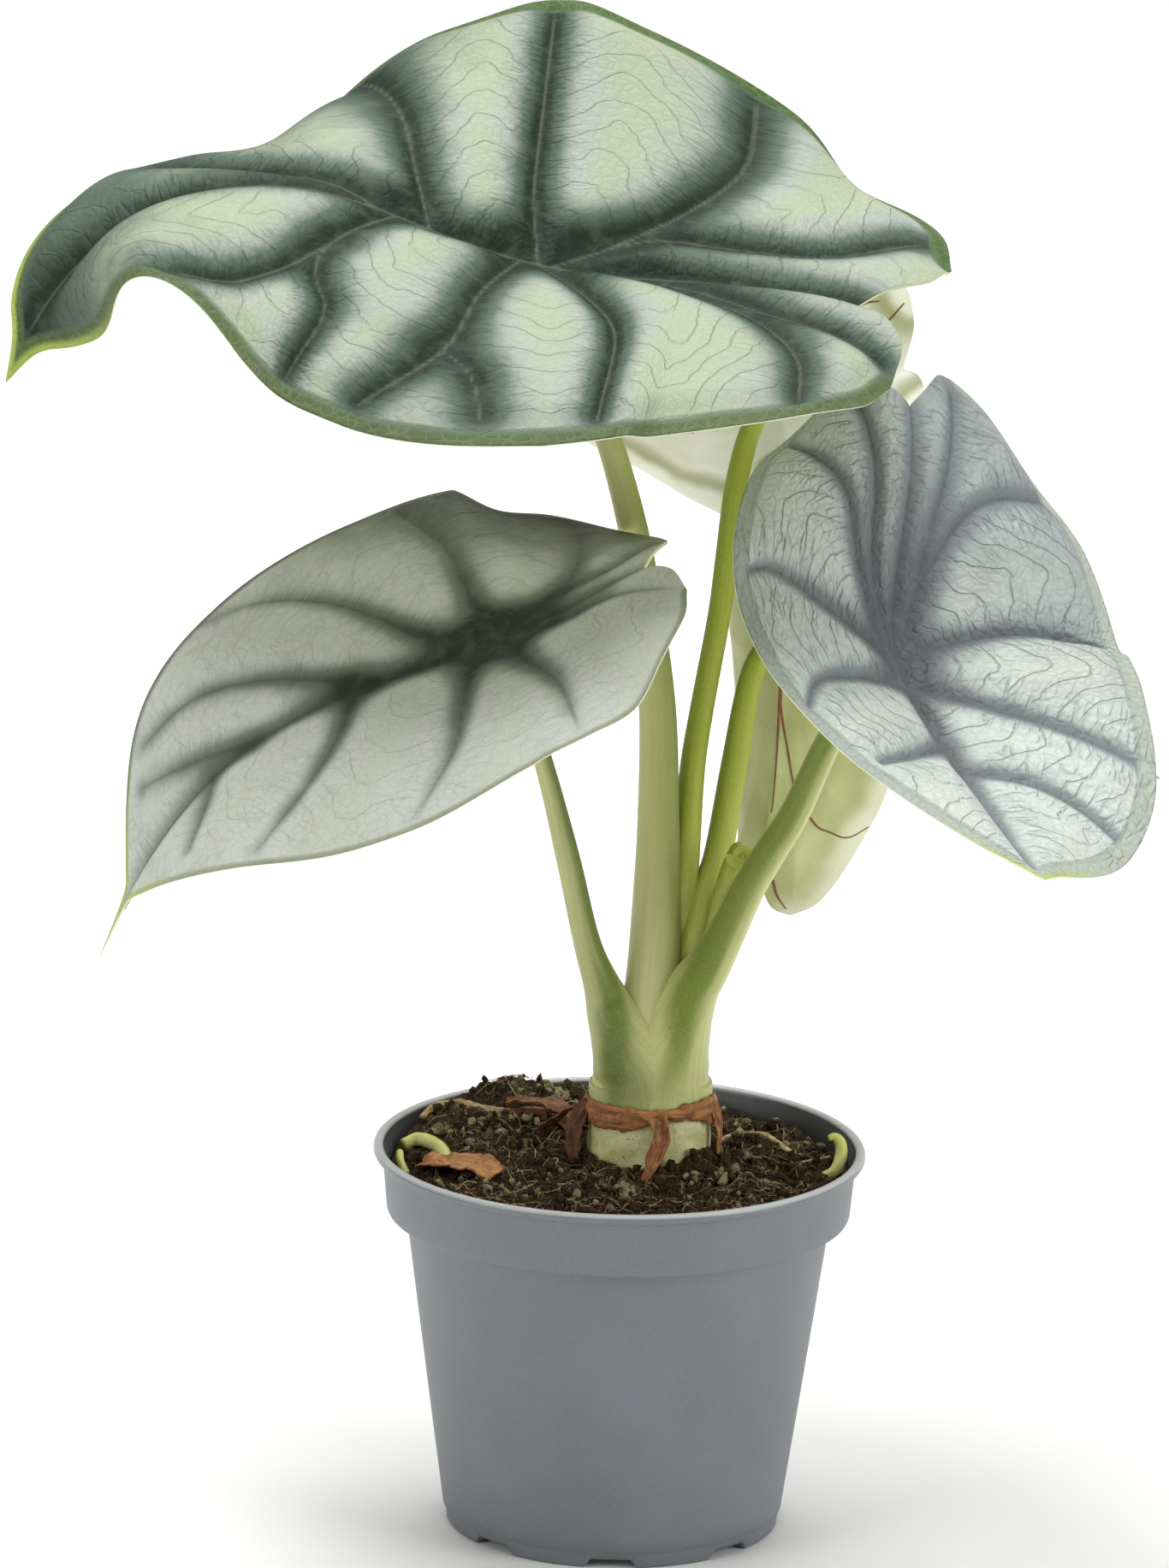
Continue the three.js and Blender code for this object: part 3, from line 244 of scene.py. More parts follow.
# What lies on the soil: x, y, height of the line over the soil, half width and half height
LITTER = {
    "dried_stalk": [
        (-48.5, 24, 1.2, 0.9, 0.8), (-46, 29.5, 1, 1, 0.9), (-40.5, 33, 0.9, 1.1, 0.9),
        (-34.5, 30, 1, 1.3, 1), (-28, 25.5, 1.3, 2.2, 0.9), (-21.5, 25.5, 1.6, 3.2, 0.9),
        (-15.5, 24.5, 2, 3, 0.9), (-11, 18.5, 1.6, 1.8, 0.9)],
    "dry_scale": [
        (-48.5, -5, 1.6, 2.4, 0.7), (-44.5, -6.5, 2.6, 4.8, 0.8), (-39, -10, 3.1, 6.4, 0.9),
        (-34, -14, 2.6, 5.8, 0.8), (-30.5, -17.5, 1.5, 3.2, 0.7)],
    "root_right": [
        (24, 23.5, 0.4, 0.7, 0.7), (28, 28.5, 0.7, 0.7, 0.7), (34.5, 26.5, 0.8, 0.7, 0.7),
        (38.5, 22, 0.7, 0.7, 0.7), (41.5, 15, 0.5, 0.7, 0.7), (44.5, 12.5, 0.3, 0.6, 0.6)],
    "root_thin": [
        (41, 4, 0.3, 0.5, 0.5), (44.5, 7, 0.5, 0.5, 0.5), (48, 9.5, 0.5, 0.5, 0.5),
        (52, 11.5, 0.6, 0.5, 0.5)],
    "green_stub": [
        (-53, 9, 1.6, 1.4, 1.4), (-49, 11, 1.8, 1.7, 1.7), (-44, 5.5, 1.6, 1.7, 1.7),
        (-41.5, -1, 1, 1.4, 1.4)],
    "pale_stub": [(-51.5, -8, 0.8, 1, 1), (-53.2, -3.5, 2, 1, 1), (-53.5, 1.5, 2.4, 0.9, 0.9)],
    "sprout": [
        (50, -4.2, 1.2, 1.3, 1.3), (52.6, -3.3, 2, 1.5, 1.5), (53.9, -1.4, 4.4, 1.5, 1.5),
        (53.8, 0.3, 7.1, 1.4, 1.4), (52.5, 0.9, 9, 1.1, 1.1), (50.8, 0.5, 9.3, 0.7, 0.7)],
}

# Clumps of pale mossy granules in the soil: x, y and radius
CLUMPS = [
    (34.7, 6.0, 5), (-2.0, -27.4, 3.5), (15.5, -18.9, 3.5), (-32.9, 14.5, 5), (-15.7, 41.3, 3.5),
    (2.6, -26.3, 3), (26.3, -17.4, 2.5)]


# Arithmetic on whole arrays

def stations(values, t):
    """Catmull-Rom value of evenly spaced numbers (or rows) at places t from 0 to 1, as an array."""
    values = np.asarray(values, float)
    n = len(values)
    padded = np.concatenate([[2 * values[0] - values[1]], values, [2 * values[-1] - values[-2]]])
    x = np.clip(t, 0, 1) * (n - 1)
    i = np.minimum(x.astype(int), n - 2)
    f = x - i
    if values.ndim == 2:
        f = f[:, None]
    a, b, c, d = padded[i], padded[i + 1], padded[i + 2], padded[i + 3]
    return 0.5 * (2 * b + (c - a) * f + (2 * a - 5 * b + 4 * c - d) * f**2
                  + (3 * b - a - 3 * c + d) * f**3)


def smooth_rows(rows, steps):
    """A list of rows as a Catmull-Rom curve with that many even steps between each two."""
    return stations(rows, np.linspace(0, 1, steps * (len(rows) - 1) + 1))


def smooth_line(line, steps):
    """The rows of a line in space made smooth, the unit direction at each and the length up to it."""
    rows = smooth_rows(line, steps)
    ahead = np.gradient(rows[:, :3], axis=0)
    ahead /= np.linalg.norm(ahead, axis=1)[:, None]
    spans = np.linalg.norm(np.diff(rows[:, :3], axis=0), axis=1)
    return rows, ahead, np.concatenate([[0], np.cumsum(spans)])


def smooth(x, low, high):
    """Smoothstep: 0 below low, 1 above high, and a soft S between them."""
    t = np.clip((x - low) / (high - low), 0, 1)
    return t * t * (3 - 2 * t)


def bell(x, y, middle, width):
    """A bell of height 1 over a middle: exp(-distance^2 / (2 width^2))."""
    return np.exp(-((x - middle[0]) ** 2 + (y - middle[1]) ** 2) / (2 * width**2))


def stem_share(x, y, radii):
    """Distance from the stem's middle as a share of an ellipse round it."""
    return np.hypot((x - STEM_CENTRE[0]) / radii[0], (y - STEM_CENTRE[1]) / radii[1])


def hashed(i, j, k, seed):
    """A number from 0 to 1 for each cell i, j, k: the fraction of a large sine of its place."""
    value = np.sin(i * 127.1 + j * 311.7 + k * 74.7 + seed * 53.3) * 43758.5453
    return value - np.floor(value)


def value_noise(x, y, z, size, seed):
    """Smooth noise from 0 to 1: eight hashed corners of a cell of the given size in mm, blended."""
    x, y, z = x / size, y / size, z / size
    i, j, k = np.floor(x), np.floor(y), np.floor(z)
    fx, fy, fz = smooth(x - i, 0, 1), smooth(y - j, 0, 1), smooth(z - k, 0, 1)
    total = 0
    for a in (0, 1):
        for b in (0, 1):
            for c in (0, 1):
                share = (fx if a else 1 - fx) * (fy if b else 1 - fy) * (fz if c else 1 - fz)
                total = total + share * hashed(i + a, j + b, k + c, seed)
    return total


# Surfaces: each is its points, its triangles and the values that its materials read

def grid_triangles(rows, columns, wrap=False):
    """Two triangles for each cell of a grid of points stored row by row; wrap joins the last column."""
    across = columns if wrap else columns - 1
    i, j = np.meshgrid(np.arange(rows - 1), np.arange(across), indexing="ij")
    i, j = i.ravel(), j.ravel()
    k = (j + 1) % columns
    a, b = i * columns + j, (i + 1) * columns + j
    c, d = (i + 1) * columns + k, i * columns + k
    return np.concatenate([np.stack([a, b, c], 1), np.stack([a, c, d], 1)])


def fan(hub, ring, turned=False):
    """Triangles from one point to each step of a closed ring of points."""
    after = np.roll(ring, -1)
    first, second = (after, ring) if turned else (ring, after)
    return np.stack([np.full(len(ring), hub), first, second], 1)


def weld(points, triangles, values):
    """Joins points that lie within 0.0005 mm, and drops the triangles that this closes up."""
    keys = np.round(points / 0.0005).astype(np.int64)
    _, first, inverse = np.unique(keys, axis=0, return_index=True, return_inverse=True)
    triangles = inverse.reshape(-1)[triangles]
    open_ones = (triangles[:, 0] != triangles[:, 1]) & (triangles[:, 1] != triangles[:, 2])
    open_ones &= triangles[:, 0] != triangles[:, 2]
    return points[first], triangles[open_ones], {k: v[first] for k, v in values.items()}


def closed_sheet(top, under, triangles, values):
    """Two faces of a sheet as a thin solid, joined round the open rim: the edges that only one
    triangle has."""
    edges = np.concatenate([triangles[:, [0, 1]], triangles[:, [1, 2]], triangles[:, [2, 0]]])
    count = len(top)
    a, b = edges[~np.isin(edges @ [count, 1], edges @ [1, count])].T
    band = np.concatenate([np.stack([a, a + count, b + count], 1), np.stack([a, b + count, b], 1)])
    faces = np.concatenate([triangles, triangles[:, ::-1] + count, band])
    return np.concatenate([top, under]), faces, {k: np.concatenate([v, v]) for k, v in values.items()}


def joined(surfaces):
    """Several surfaces as one: points, triangles and values one after another."""
    points, faces, values = zip(*surfaces)
    offsets = np.cumsum([0] + [len(p) for p in points])
    faces = np.concatenate([f + o for f, o in zip(faces, offsets)])
    return np.concatenate(points), faces, {k: np.concatenate([v[k] for v in values]) for k in values[0]}


def add_piece(name, surface, materials, slot, nodes=(), indices=None):
    """Puts a surface in millimetres into a smooth-shaded mesh that rides the plant's one body, in
    place of the CAD nodes given; indices are the materials of its triangles."""
    points, triangles, values = surface
    mesh = bpy.data.meshes.new(name)
    mesh.vertices.add(len(points))
    mesh.vertices.foreach_set("co", np.ascontiguousarray(points * MM, np.float32).ravel())
    mesh.loops.add(3 * len(triangles))
    mesh.loops.foreach_set("vertex_index", np.ascontiguousarray(triangles, np.int32).ravel())
    mesh.polygons.add(len(triangles))
    mesh.polygons.foreach_set("loop_start", np.arange(0, 3 * len(triangles), 3, dtype=np.int32))
    mesh.polygons.foreach_set("loop_total", np.full(len(triangles), 3, np.int32))
    mesh.polygons.foreach_set("use_smooth", np.ones(len(triangles), bool))
    for material in materials:
        mesh.materials.append(material)
    if indices is not None:
        mesh.polygons.foreach_set("material_index", np.ascontiguousarray(indices, np.int32))
    for key, value in values.items():
        kind, field = ("FLOAT", "value") if value.ndim == 1 else ("FLOAT_VECTOR", "vector")
        layer = mesh.attributes.new(key, kind, "POINT")
        layer.data.foreach_set(field, np.ascontiguousarray(value, np.float32).ravel())
    mesh.update(calc_edges=True)
    mesh.validate()
    obj = bpy.data.objects.new(name, mesh)
    bpy.context.scene.collection.objects.link(obj)
    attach(obj, BODY)
    if nodes:
        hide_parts(*nodes)
    return obj


# Colours and patterns

EASED = {"interpolation_type": "SMOOTHSTEP"}


def hex_colour(code):
    """Linear RGBA of an sRGB hex colour: each share is divided by 12.92 or raised to 2.4."""
    shares = [int(code.lstrip("#")[k:k + 2], 16) / 255 for k in (0, 2, 4)]
    linear = [s / 12.92 if s <= 0.04045 else ((s + 0.055) / 1.055) ** 2.4 for s in shares]
    return (*linear, 1.0)


def add_node(material, kind, inputs=(), take=None, **settings):
    """Adds a node with its settings, and gives the output of that name, or else its first one.

    The inputs go to the node's shown sockets in turn, or by name. Each is a number, an sRGB hex
    colour, a vector or colour, or another node's output, which is linked.
    """
    tree = material.node_tree
    made = tree.nodes.new("ShaderNode" + kind)
    for key, value in settings.items():
        setattr(made, key, value)
    by_name = isinstance(inputs, dict)
    shown = [socket for socket in made.inputs if socket.enabled]
    pairs = [(made.inputs[k], v) for k, v in inputs.items()] if by_name else list(zip(shown, inputs))
    for socket, value in pairs:
        if isinstance(value, bpy.types.NodeSocket):
            tree.links.new(value, socket)
        else:
            socket.default_value = hex_colour(value) if isinstance(value, str) else value
    return made.outputs[take] if take else next((socket for socket in made.outputs if socket.enabled), None)


def new_material(name):
    """An empty node material with that name, or the one that already has it, and add_node for it."""
    material = bpy.data.materials.get(name) or bpy.data.materials.new(name)
    material.use_nodes = True
    material.node_tree.nodes.clear()
    return material, partial(add_node, material)


def finish(material, colour, roughness, height=None, bump=0.3, specular=0.5):
    """The Principled surface with linked or constant colour and roughness, and a bump in mm."""
    inputs = {"Base Color": colour, "Roughness": roughness, "Specular IOR Level": specular}
    if height is not None:
        relief = {"Height": height, "Distance": bump * MM, "Strength": 1.0}
        inputs["Normal"] = add_node(material, "Bump", relief)
    add_node(material, "OutputMaterial", [add_node(material, "BsdfPrincipled", inputs)])
    return material


def in_millimetres(add, size, source=None):
    """Object coordinates, or a given vector, in units of size millimetres, alike or for each axis."""
    unit = MM if source is None else 1
    vector = add("TexCoord", take="Object") if source is None else source
    return add("Mapping", {"Vector": vector, "Scale": [1 / (unit * s) for s in np.broadcast_to(size, 3)]})


def grain(add, size, detail=2.0, roughness=0.5, source=None):
    """Fractal noise from 0 to 1 with cells of size millimetres."""
    vector = in_millimetres(add, size, source)
    return add("TexNoise", {"Vector": vector, "Scale": 1.0, "Detail": detail, "Roughness": roughness})


def to_cell_border(add, size, source, randomness=1.0):
    """Distance to the border between cells of size millimetres, as a share of them, for a fine net."""
    vector = in_millimetres(add, size, source)
    return add("TexVoronoi", {"Vector": vector, "Scale": 1.0, "Randomness": randomness},
               feature="DISTANCE_TO_EDGE")


def window(add, value, rise, fall, peak=1.0):
    """0 before the first of rise, peak from its second to the first of fall, and 0 after its second."""
    up = add("MapRange", (value, *rise, 0.0, peak), **EASED)
    down = add("MapRange", (value, *fall, 1.0, 0.0), **EASED)
    return add("Math", (up, down), operation="MULTIPLY")


def laid(add, under, over, value, low, high, at_low=0.0, at_high=1.0, share=None):
    """One colour over another, with a strength that eases from at_low to at_high as the value goes
    from low to high, times a further share if one is given."""
    strength = add("MapRange", (value, low, high, at_low, at_high), **EASED)
    if share is not None:
        strength = add("Math", (strength, share), operation="MULTIPLY")
    return add("Mix", (strength, under, over), data_type="RGBA")


# Leaves

def blade_points(blade, u, v):
    """Points of a blade's smooth surface for flat places u along the midrib and v beside it, in mm.

    The midrib is the sum of steps along cos(rise) cos(swing), cos(rise) sin(swing), sin(rise). Beside
    it a half starts at its fold angle and turns evenly by its curl out to the half width, an arc
    whose chord is d sin(h) / h for a half turn h. Roll, pitch and heading then turn it all.
    """
    q = np.where(u < 0, u / blade["back"], u / blade["front"])
    angles = {key: lambda at, key=key: np.radians(stations(blade[key], (at + 1) / 2))
              for key in ("rise", "swing", "fold_left", "fold_right", "curl_left", "curl_right")}
    steps, reach = 160, 1.1
    middle = -reach + reach * (np.arange(2 * steps) + 0.5) / steps
    rise, swing = angles["rise"](middle), angles["swing"](middle)
    length = np.where(middle < 0, blade["back"], blade["front"]) * reach / steps
    step = np.stack([np.cos(rise) * np.cos(swing), np.cos(rise) * np.sin(swing), np.sin(rise)], 1)
    spine = np.concatenate([[[0, 0, 0]], np.cumsum(step * length[:, None], 0)])
    spine -= spine[steps]
    x = np.clip((q + reach) / reach * steps, 0, 2 * steps - 1e-6)
    i = x.astype(int)
    on_spine = spine[i] + (x - i)[:, None] * (spine[i + 1] - spine[i])
    rise, swing = angles["rise"](q), angles["swing"](q)
    left = v >= 0
    d = np.abs(v) * np.where(left, 1, blade["right_share"])
    fold = np.where(left, angles["fold_left"](q), angles["fold_right"](q))
    curl = np.where(left, angles["curl_left"](q), angles["curl_right"](q))
    half = curl * d / (2 * blade["half"])
    half = np.where(np.abs(half) < 1e-6, 1e-6, half)
    chord = d * np.sin(half) / half
    beside = np.sign(v) * chord * np.cos(fold + half)
    up = chord * np.sin(fold + half)
    local = on_spine + np.stack([
        -beside * np.sin(swing) - up * np.sin(rise) * np.cos(swing),
        beside * np.cos(swing) - up * np.sin(rise) * np.sin(swing),
        up * np.cos(rise)], 1)
    h, p, r = (math.radians(blade[key]) for key in ("heading", "pitch", "roll"))
    forward = np.array([math.cos(p) * math.cos(h), math.cos(p) * math.sin(h), math.sin(p)])
    level = np.array([-math.sin(h), math.cos(h), 0])
    aside = math.cos(r) * level + math.sin(r) * np.cross(forward, level)
    return np.array(blade["attach"]) + local @ np.stack([forward, aside, np.cross(forward, aside)])


def line_place(line, u, v):
    """For each flat place: distance to a line, and length along it at the nearest point."""
    near = np.full(len(u), 1e9)
    along = np.zeros(len(u))
    start = 0.0
    for (ax, ay), (bx, by) in zip(line[:-1], line[1:]):
        dx, dy = bx - ax, by - ay
        size = math.hypot(dx, dy) + 1e-9
        t = np.clip(((u - ax) * dx + (v - ay) * dy) / size**2, 0, 1)
        d = np.hypot(u - ax - t * dx, v - ay - t * dy)
        along = np.where(d < near, start + t * size, along)
        near = np.minimum(near, d)
        start += size
    return near, along


def vein_map(lines, bands, t, u, v):
    """Distance to the nearest vein, how much farther the next one is, the length along the nearest,
    and the share that the dark tissue leaves clear.

    The dark tissue of one vein is strength times exp(-(distance / width)^1.5), width and strength
    changing evenly with t, the share of the way from the blade's heart to its margin, and what
    each vein leaves clear is multiplied. Each vein's length starts 9.7 mm after the last one's, so
    that no two have the same rungs.
    """
    best, second = np.full(len(u), 1e9), np.full(len(u), 1e9)
    along = np.zeros(len(u))
    clear = np.ones(len(u))
    wide = bands[0] + (bands[1] - bands[0]) * t
    strength = bands[2] + (bands[3] - bands[2]) * t
    for number, line in enumerate(lines):
        near, place_on = line_place(line, u, v)
        clear *= 1 - strength * np.exp(-(near / wide) ** 1.5)
        along = np.where(near < best, place_on + 9.7 * number, along)
        second = np.minimum(second, np.maximum(best, near))
        best = np.minimum(best, near)
    return best, second - best, along, clear


def flat_place(blade, q, w):
    """Flat millimetres of a place given as shares of the length and the half width."""
    return q * np.where(q < 0, blade["back"], blade["front"]), w * blade["half"]


def flat_line(blade, places, steps=6):
    """A smooth line on the flat blade in mm, through places given as shares."""
    return np.stack(flat_place(blade, *smooth_rows(places, steps).T), 1)


def half_outline(blade):
    """The blade's sinus side and margin as shares, eight steps a stretch."""
    margin = smooth_rows(MARGIN + blade["tip"], 8)
    margin[:, 1] = np.maximum(margin[:, 1], 0)
    return smooth_rows(SINUS, 8), margin


def between_veins(near, meet, size):
    """Distance to the nearest vein, rounded off over size mm where the next is as near: less
    size ln(1 + exp(-how much farther the next one is / size))."""
    return near - size * np.log1p(np.exp(-meet / size))


def blade_skin(blade, thickness, u, v):
    """The blade's smooth surface at flat places, its normal, and what its faces and materials read.

    The faces are the smooth surface raised along its normal by the swelling of the panels, which is
    puff times 1 - exp(-(rounded distance to a vein / PANEL_RISE)^1.5), eased to nothing within
    MARGIN_FADE of the margin, less a crease of exp(-distance / CREASE_WIDTH) along each vein. They
    lie half the thickness each side of that, and thinner in the last 3.5 mm. Arc counts small
    veins: even steps out from the heart, swept outward by the square of the rounded distance from
    the main veins. Dark joins the bands, the heart, the slanting painted shade and the gloom: what
    each leaves clear is multiplied.
    """
    _, margin = half_outline(blade)
    midrib = [(0, 0), (0.5, 0), (1, 0), TIP[-1]], [(0, 0), (-0.4, 0), SINUS[0]]
    lines = [flat_line(blade, vein) for vein in (*blade["veins"], *midrib)]
    edges = [np.stack(flat_place(blade, margin[:, 0], side * margin[:, 1]), 1) for side in (1, -1)]
    share_along = u / blade["front"]
    from_heart = np.hypot(u / np.where(u < 0, blade["back"], blade["front"]), v / blade["half"])
    near, meet, along, clear = vein_map(lines, blade["bands"], np.clip(from_heart, 0, 1), u, v)
    edge = np.minimum(*[line_place(line, u, v)[0] for line in edges])
    rise = np.maximum(between_veins(near, meet, PANEL_MEETING), 0)
    swell = blade["puff"] * (1 - np.exp(-(rise / PANEL_RISE) ** 1.5)) * smooth(edge, 0, MARGIN_FADE)
    crease = -blade["crease"] * np.exp(-near / CREASE_WIDTH) * smooth(edge, 0, 8)
    step = 0.5
    ahead = blade_points(blade, u + step, v) - blade_points(blade, u - step, v)
    aside = blade_points(blade, u, v + step) - blade_points(blade, u, v - step)
    normal = np.cross(ahead, aside)
    normal /= np.linalg.norm(normal, axis=1)[:, None]
    reached, zero = np.hypot(u, v), np.zeros(len(u))
    swept = np.clip(between_veins(near, meet, 5), 0, 22) ** 2 / 26
    # A slanting stretch of painted shade: its shares of length and half width, where it starts and its
    # strength
    along_share, aside_share, start, strength = blade["slanting_shade"]
    slant = along_share * share_along + aside_share * v / blade["half"]
    clear = clear * (1 - 0.97 * np.exp(-(reached / blade["heart"]) ** 2))
    clear = clear * (1 - strength * smooth(slant, start, 1.0))
    clear = clear * (1 - blade["gloom"] * smooth(share_along, 0.4, 0.85))
    return {
        "base": blade_points(blade, u, v), "normal": normal, "lift": swell + crease,
        "thin": 0.5 * thickness * (0.35 + 0.65 * smooth(edge, 0, 3.5)),
        "flat": np.stack([u, v, zero], 1), "ladder": np.stack([along, near, zero], 1),
        "arc": (reached - swept) / blade["arcs"], "vein": near, "meet": meet,
        "edge": edge, "dark": 1 - clear, "tip": smooth(share_along, 0.72, 0.97),
    }


def blade_mesh(blade, thickness):
    """Both faces and the rim of a blade, with the material of each triangle: 0 above, 1 beneath.

    Rows run from the back lobes to the tip and columns from the midrib or sinus to the margin.
    """
    rows, columns = blade["rows"], blade["columns"]
    sinus, margin = half_outline(blade)
    sinus_rows, sinus_end = max(int(rows * 0.11), 3), SINUS[0][0]
    q = np.concatenate([
        -1 + (sinus_end + 1) * (np.arange(sinus_rows) / sinus_rows) ** 1.6,
        sinus_end + (margin[-1, 0] - sinus_end) * np.linspace(0, 1, rows - sinus_rows + 1)])
    outer = np.interp(q, margin[:, 0], margin[:, 1])
    inner = np.where(q < sinus_end, np.interp(-q, -sinus[:, 0], sinus[:, 1]), 0)
    share = inner[:, None] + (outer - inner)[:, None] * np.linspace(0, 1, columns + 1)
    length = np.repeat(q[:, None], columns + 1, 1)
    halves = []
    for side in (1, -1):
        u, v = flat_place(blade, length.ravel(), side * share.ravel())
        halves.append((u, np.where(v == 0, side * 1e-9, v)))
    cells = grid_triangles(rows + 1, columns + 1)
    triangles = np.concatenate([cells, cells[:, ::-1] + length.size])
    values = blade_skin(blade, thickness, *np.concatenate(halves, 1))
    base, triangles, values = weld(values.pop("base"), triangles, values)
    normal, lift, thin = values.pop("normal"), values.pop("lift")[:, None], values.pop("thin")[:, None]
    surface = closed_sheet(base + (lift + thin) * normal, base + (lift - thin) * normal, triangles, values)
    return surface, np.arange(len(surface[1])) >= len(triangles)


def vein_ridges(blade, thickness):
    """The veins raised on the underside: thin round tubes half sunk in it, finer towards their ends."""
    midrib = [(0.02, 0), (0.4, 0), (0.7, 0), (0.97, 0)]
    parts = []
    for places in blade.get("ridges", blade["veins"] + [midrib]):
        line = flat_line(blade, places, 14)
        skin = blade_skin(blade, thickness, line[:, 0], line[:, 1] + 1e-9)
        centre = skin["base"] + (skin["lift"] - skin["thin"])[:, None] * skin["normal"]
        radius = blade.get("ridge", 0.55) * np.linspace(1, 0.45, len(line))
        parts.append(tube(np.column_stack([centre, radius, radius]), 8, 1))
    return joined(parts)


def leaf_upper(name, panel, glow, middle, band, rim, rim_far, net, thread_and_crease_shade,
               gloss, comb, relief, rim_width, specular):
    """Living leaf skin, upper side: waxy, silvery panels, and green tissue along the sunk veins.

    The panels' silver is a film of air under the skin, so it is dull and pale; the tissue over
    the veins is deep grey-green. Small veins leave a main vein like rungs 2.8 mm apart, arcs cross
    the panels, and a net of 2.8 mm cells lies between them, coarser than the real one so that it
    shows. Colours: panels beside the veins and far from them, the edge of the dark tissue and the
    tissue, the rim on either side of the leaf, the small veins, and the line on each main vein,
    which is lighter than the tissue on the bright and dull skins, and on the cool skin is darker,
    painted shade in the vein's crease.
    Then the roughness, how far the rungs comb the tissue's edge, the relief and the rim's width in
    mm, and the sheen of the wax.
    """
    m, add = new_material(name)
    flat, ladder = (add("Attribute", take="Vector", attribute_name=key) for key in ("flat", "ladder"))
    dark, vein, edge, arc, tip, meet = (
        add("Attribute", take="Fac", attribute_name=key)
        for key in ("dark", "vein", "edge", "arc", "tip", "meet"))
    wander = grain(add, 12, 3.0, source=flat)
    fleck = grain(add, 0.4, 3.0, 0.7, flat)
    cloud = grain(add, 26, source=flat)
    patchy = grain(add, 5, source=flat)
    streak = grain(add, (0.7, 7, 1), 2.0, 0.6, ladder)
    sway = add("Math", (grain(add, 9, 1.0, source=flat), 0.5), operation="SUBTRACT")
    fork = add("Math", (grain(add, 2.5, 1.0, source=flat), 0.5), operation="SUBTRACT")

    # Where the small veins run: rungs beside a main vein, arcs in the panels, a net over all
    apart = add("MapRange", (meet, 0.8, 4.0), **EASED)
    rung = to_cell_border(add, (2.8, 9.0, 1), ladder, 0.8)
    beside = add("Math", (window(add, vein, (1.0, 3.0), (7.0, 18.0)), apart), operation="MULTIPLY")
    patches = add("MapRange", (patchy, 0.3, 0.6, 0.25, 1.0), **EASED)
    beside = add("Math", (beside, patches), operation="MULTIPLY")
    wobble = add("Math", (fork, 0.2, sway), operation="MULTIPLY_ADD")
    swaying = add("Math", (wobble, 0.8, arc), operation="MULTIPLY_ADD")
    to_arc = add("Math", (swaying, 0.5), operation="PINGPONG")
    off_vein = add("MapRange", (vein, 2.5, 6.0), **EASED)
    across = add("Math", (off_vein, add("MapRange", (edge, 2.0, 8.0), **EASED)), operation="MULTIPLY")
    on_arc = add("MapRange", (to_arc, 0.0, 0.055, 1.0, 0.0), **EASED)
    arcs = add("Math", (on_arc, across), operation="MULTIPLY")
    tiny = to_cell_border(add, (2.8, 2.8, 1), flat, 0.9)
    tiny_lines = add("MapRange", (tiny, 0.0, 0.09, 1.0, 0.0), **EASED)
    collector = window(add, edge, (rim_width - 0.7, rim_width), (rim_width + 0.4, rim_width + 1.3))

    # The panels with their small veins, then the dark tissue, whose edge is combed by streaks
    far = add("Math", (cloud, 26.0, vein), operation="MULTIPLY_ADD")
    colour = laid(add, panel, glow, far, 18.0, 31.0)
    colour = laid(add, colour, net, wander, 0.35, 0.6, 0.1, 0.3, tiny_lines)
    colour = laid(add, colour, net, patchy, 0.35, 0.65, 0.03, 0.2, arcs)
    colour = laid(add, colour, net, rung, 0.0, 0.08, 0.24, 0.0, beside)
    colour = laid(add, colour, "#F4F7F0", fleck, 0.35, 0.8, 0.0, 0.2)
    combed = add("Math", (apart, comb), operation="MULTIPLY")
    streaks = add("Math", (streak, 0.5), operation="SUBTRACT")
    share = add("Math", (streaks, combed, dark), operation="MULTIPLY_ADD")
    drift = add("Math", (wander, 0.5), operation="SUBTRACT")
    share = add("Math", (drift, 0.25, share), operation="MULTIPLY_ADD")
    colour = laid(add, colour, middle, share, 0.08, 0.5)
    tissue = laid(add, band, middle, patchy, 0.45, 0.75, 0.0, 0.25)
    colour = laid(add, colour, tissue, share, 0.34, 0.9)
    off_rim = add("MapRange", (edge, 3.0, 9.0), **EASED)
    # The line on each main vein; on the cool skin, where it is darker than the tissue, it is painted shade
    # in the crease
    colour = laid(add, colour, thread_and_crease_shade, vein, 0.2, 0.7, 0.28, 0.0, off_rim)

    # The rim, the vein that collects the small ones beside it, the brown edge and the green tip
    side = add("SeparateXYZ", [flat], take="Y")
    edging = laid(add, rim_far, rim, side, -4.0, 4.0)
    border = add("Math", (wander, 1.5, edge), operation="MULTIPLY_ADD")
    colour = laid(add, colour, edging, border, rim_width + 0.2, rim_width + 2.2, 0.94, 0.0)
    colour = laid(add, colour, net, border, rim_width, rim_width + 1.5, 0.3, 0.0, tiny_lines)
    collected = add("Math", (collector, 0.35), operation="MULTIPLY")
    colour = add("Mix", (collected, colour, middle), data_type="RGBA")
    colour = laid(add, colour, "#7D7048", border, 0.5, 1.0, 0.7, 0.0)
    colour = laid(add, colour, "#A3B45A", edge, 0.8, 2.6, 0.9, 0.0, tip)

    sunk = add("MapRange", (rung, 0.0, 0.16, 0.0, 0.8), **EASED)
    height = add("Math", (sunk, beside), operation="MULTIPLY")
    cushions = add("MapRange", (tiny, 0.0, 0.25), **EASED)
    for value, gain in ((arcs, -0.8), (cushions, 0.3), (fleck, 0.1), (collector, -0.5)):
        height = add("Math", (value, gain, height), operation="MULTIPLY_ADD")
    roughness = add("MapRange", (fleck, 0.2, 0.8, gloss - 0.05, gloss + 0.08), **EASED)
    return finish(m, colour, roughness, height, relief, specular)


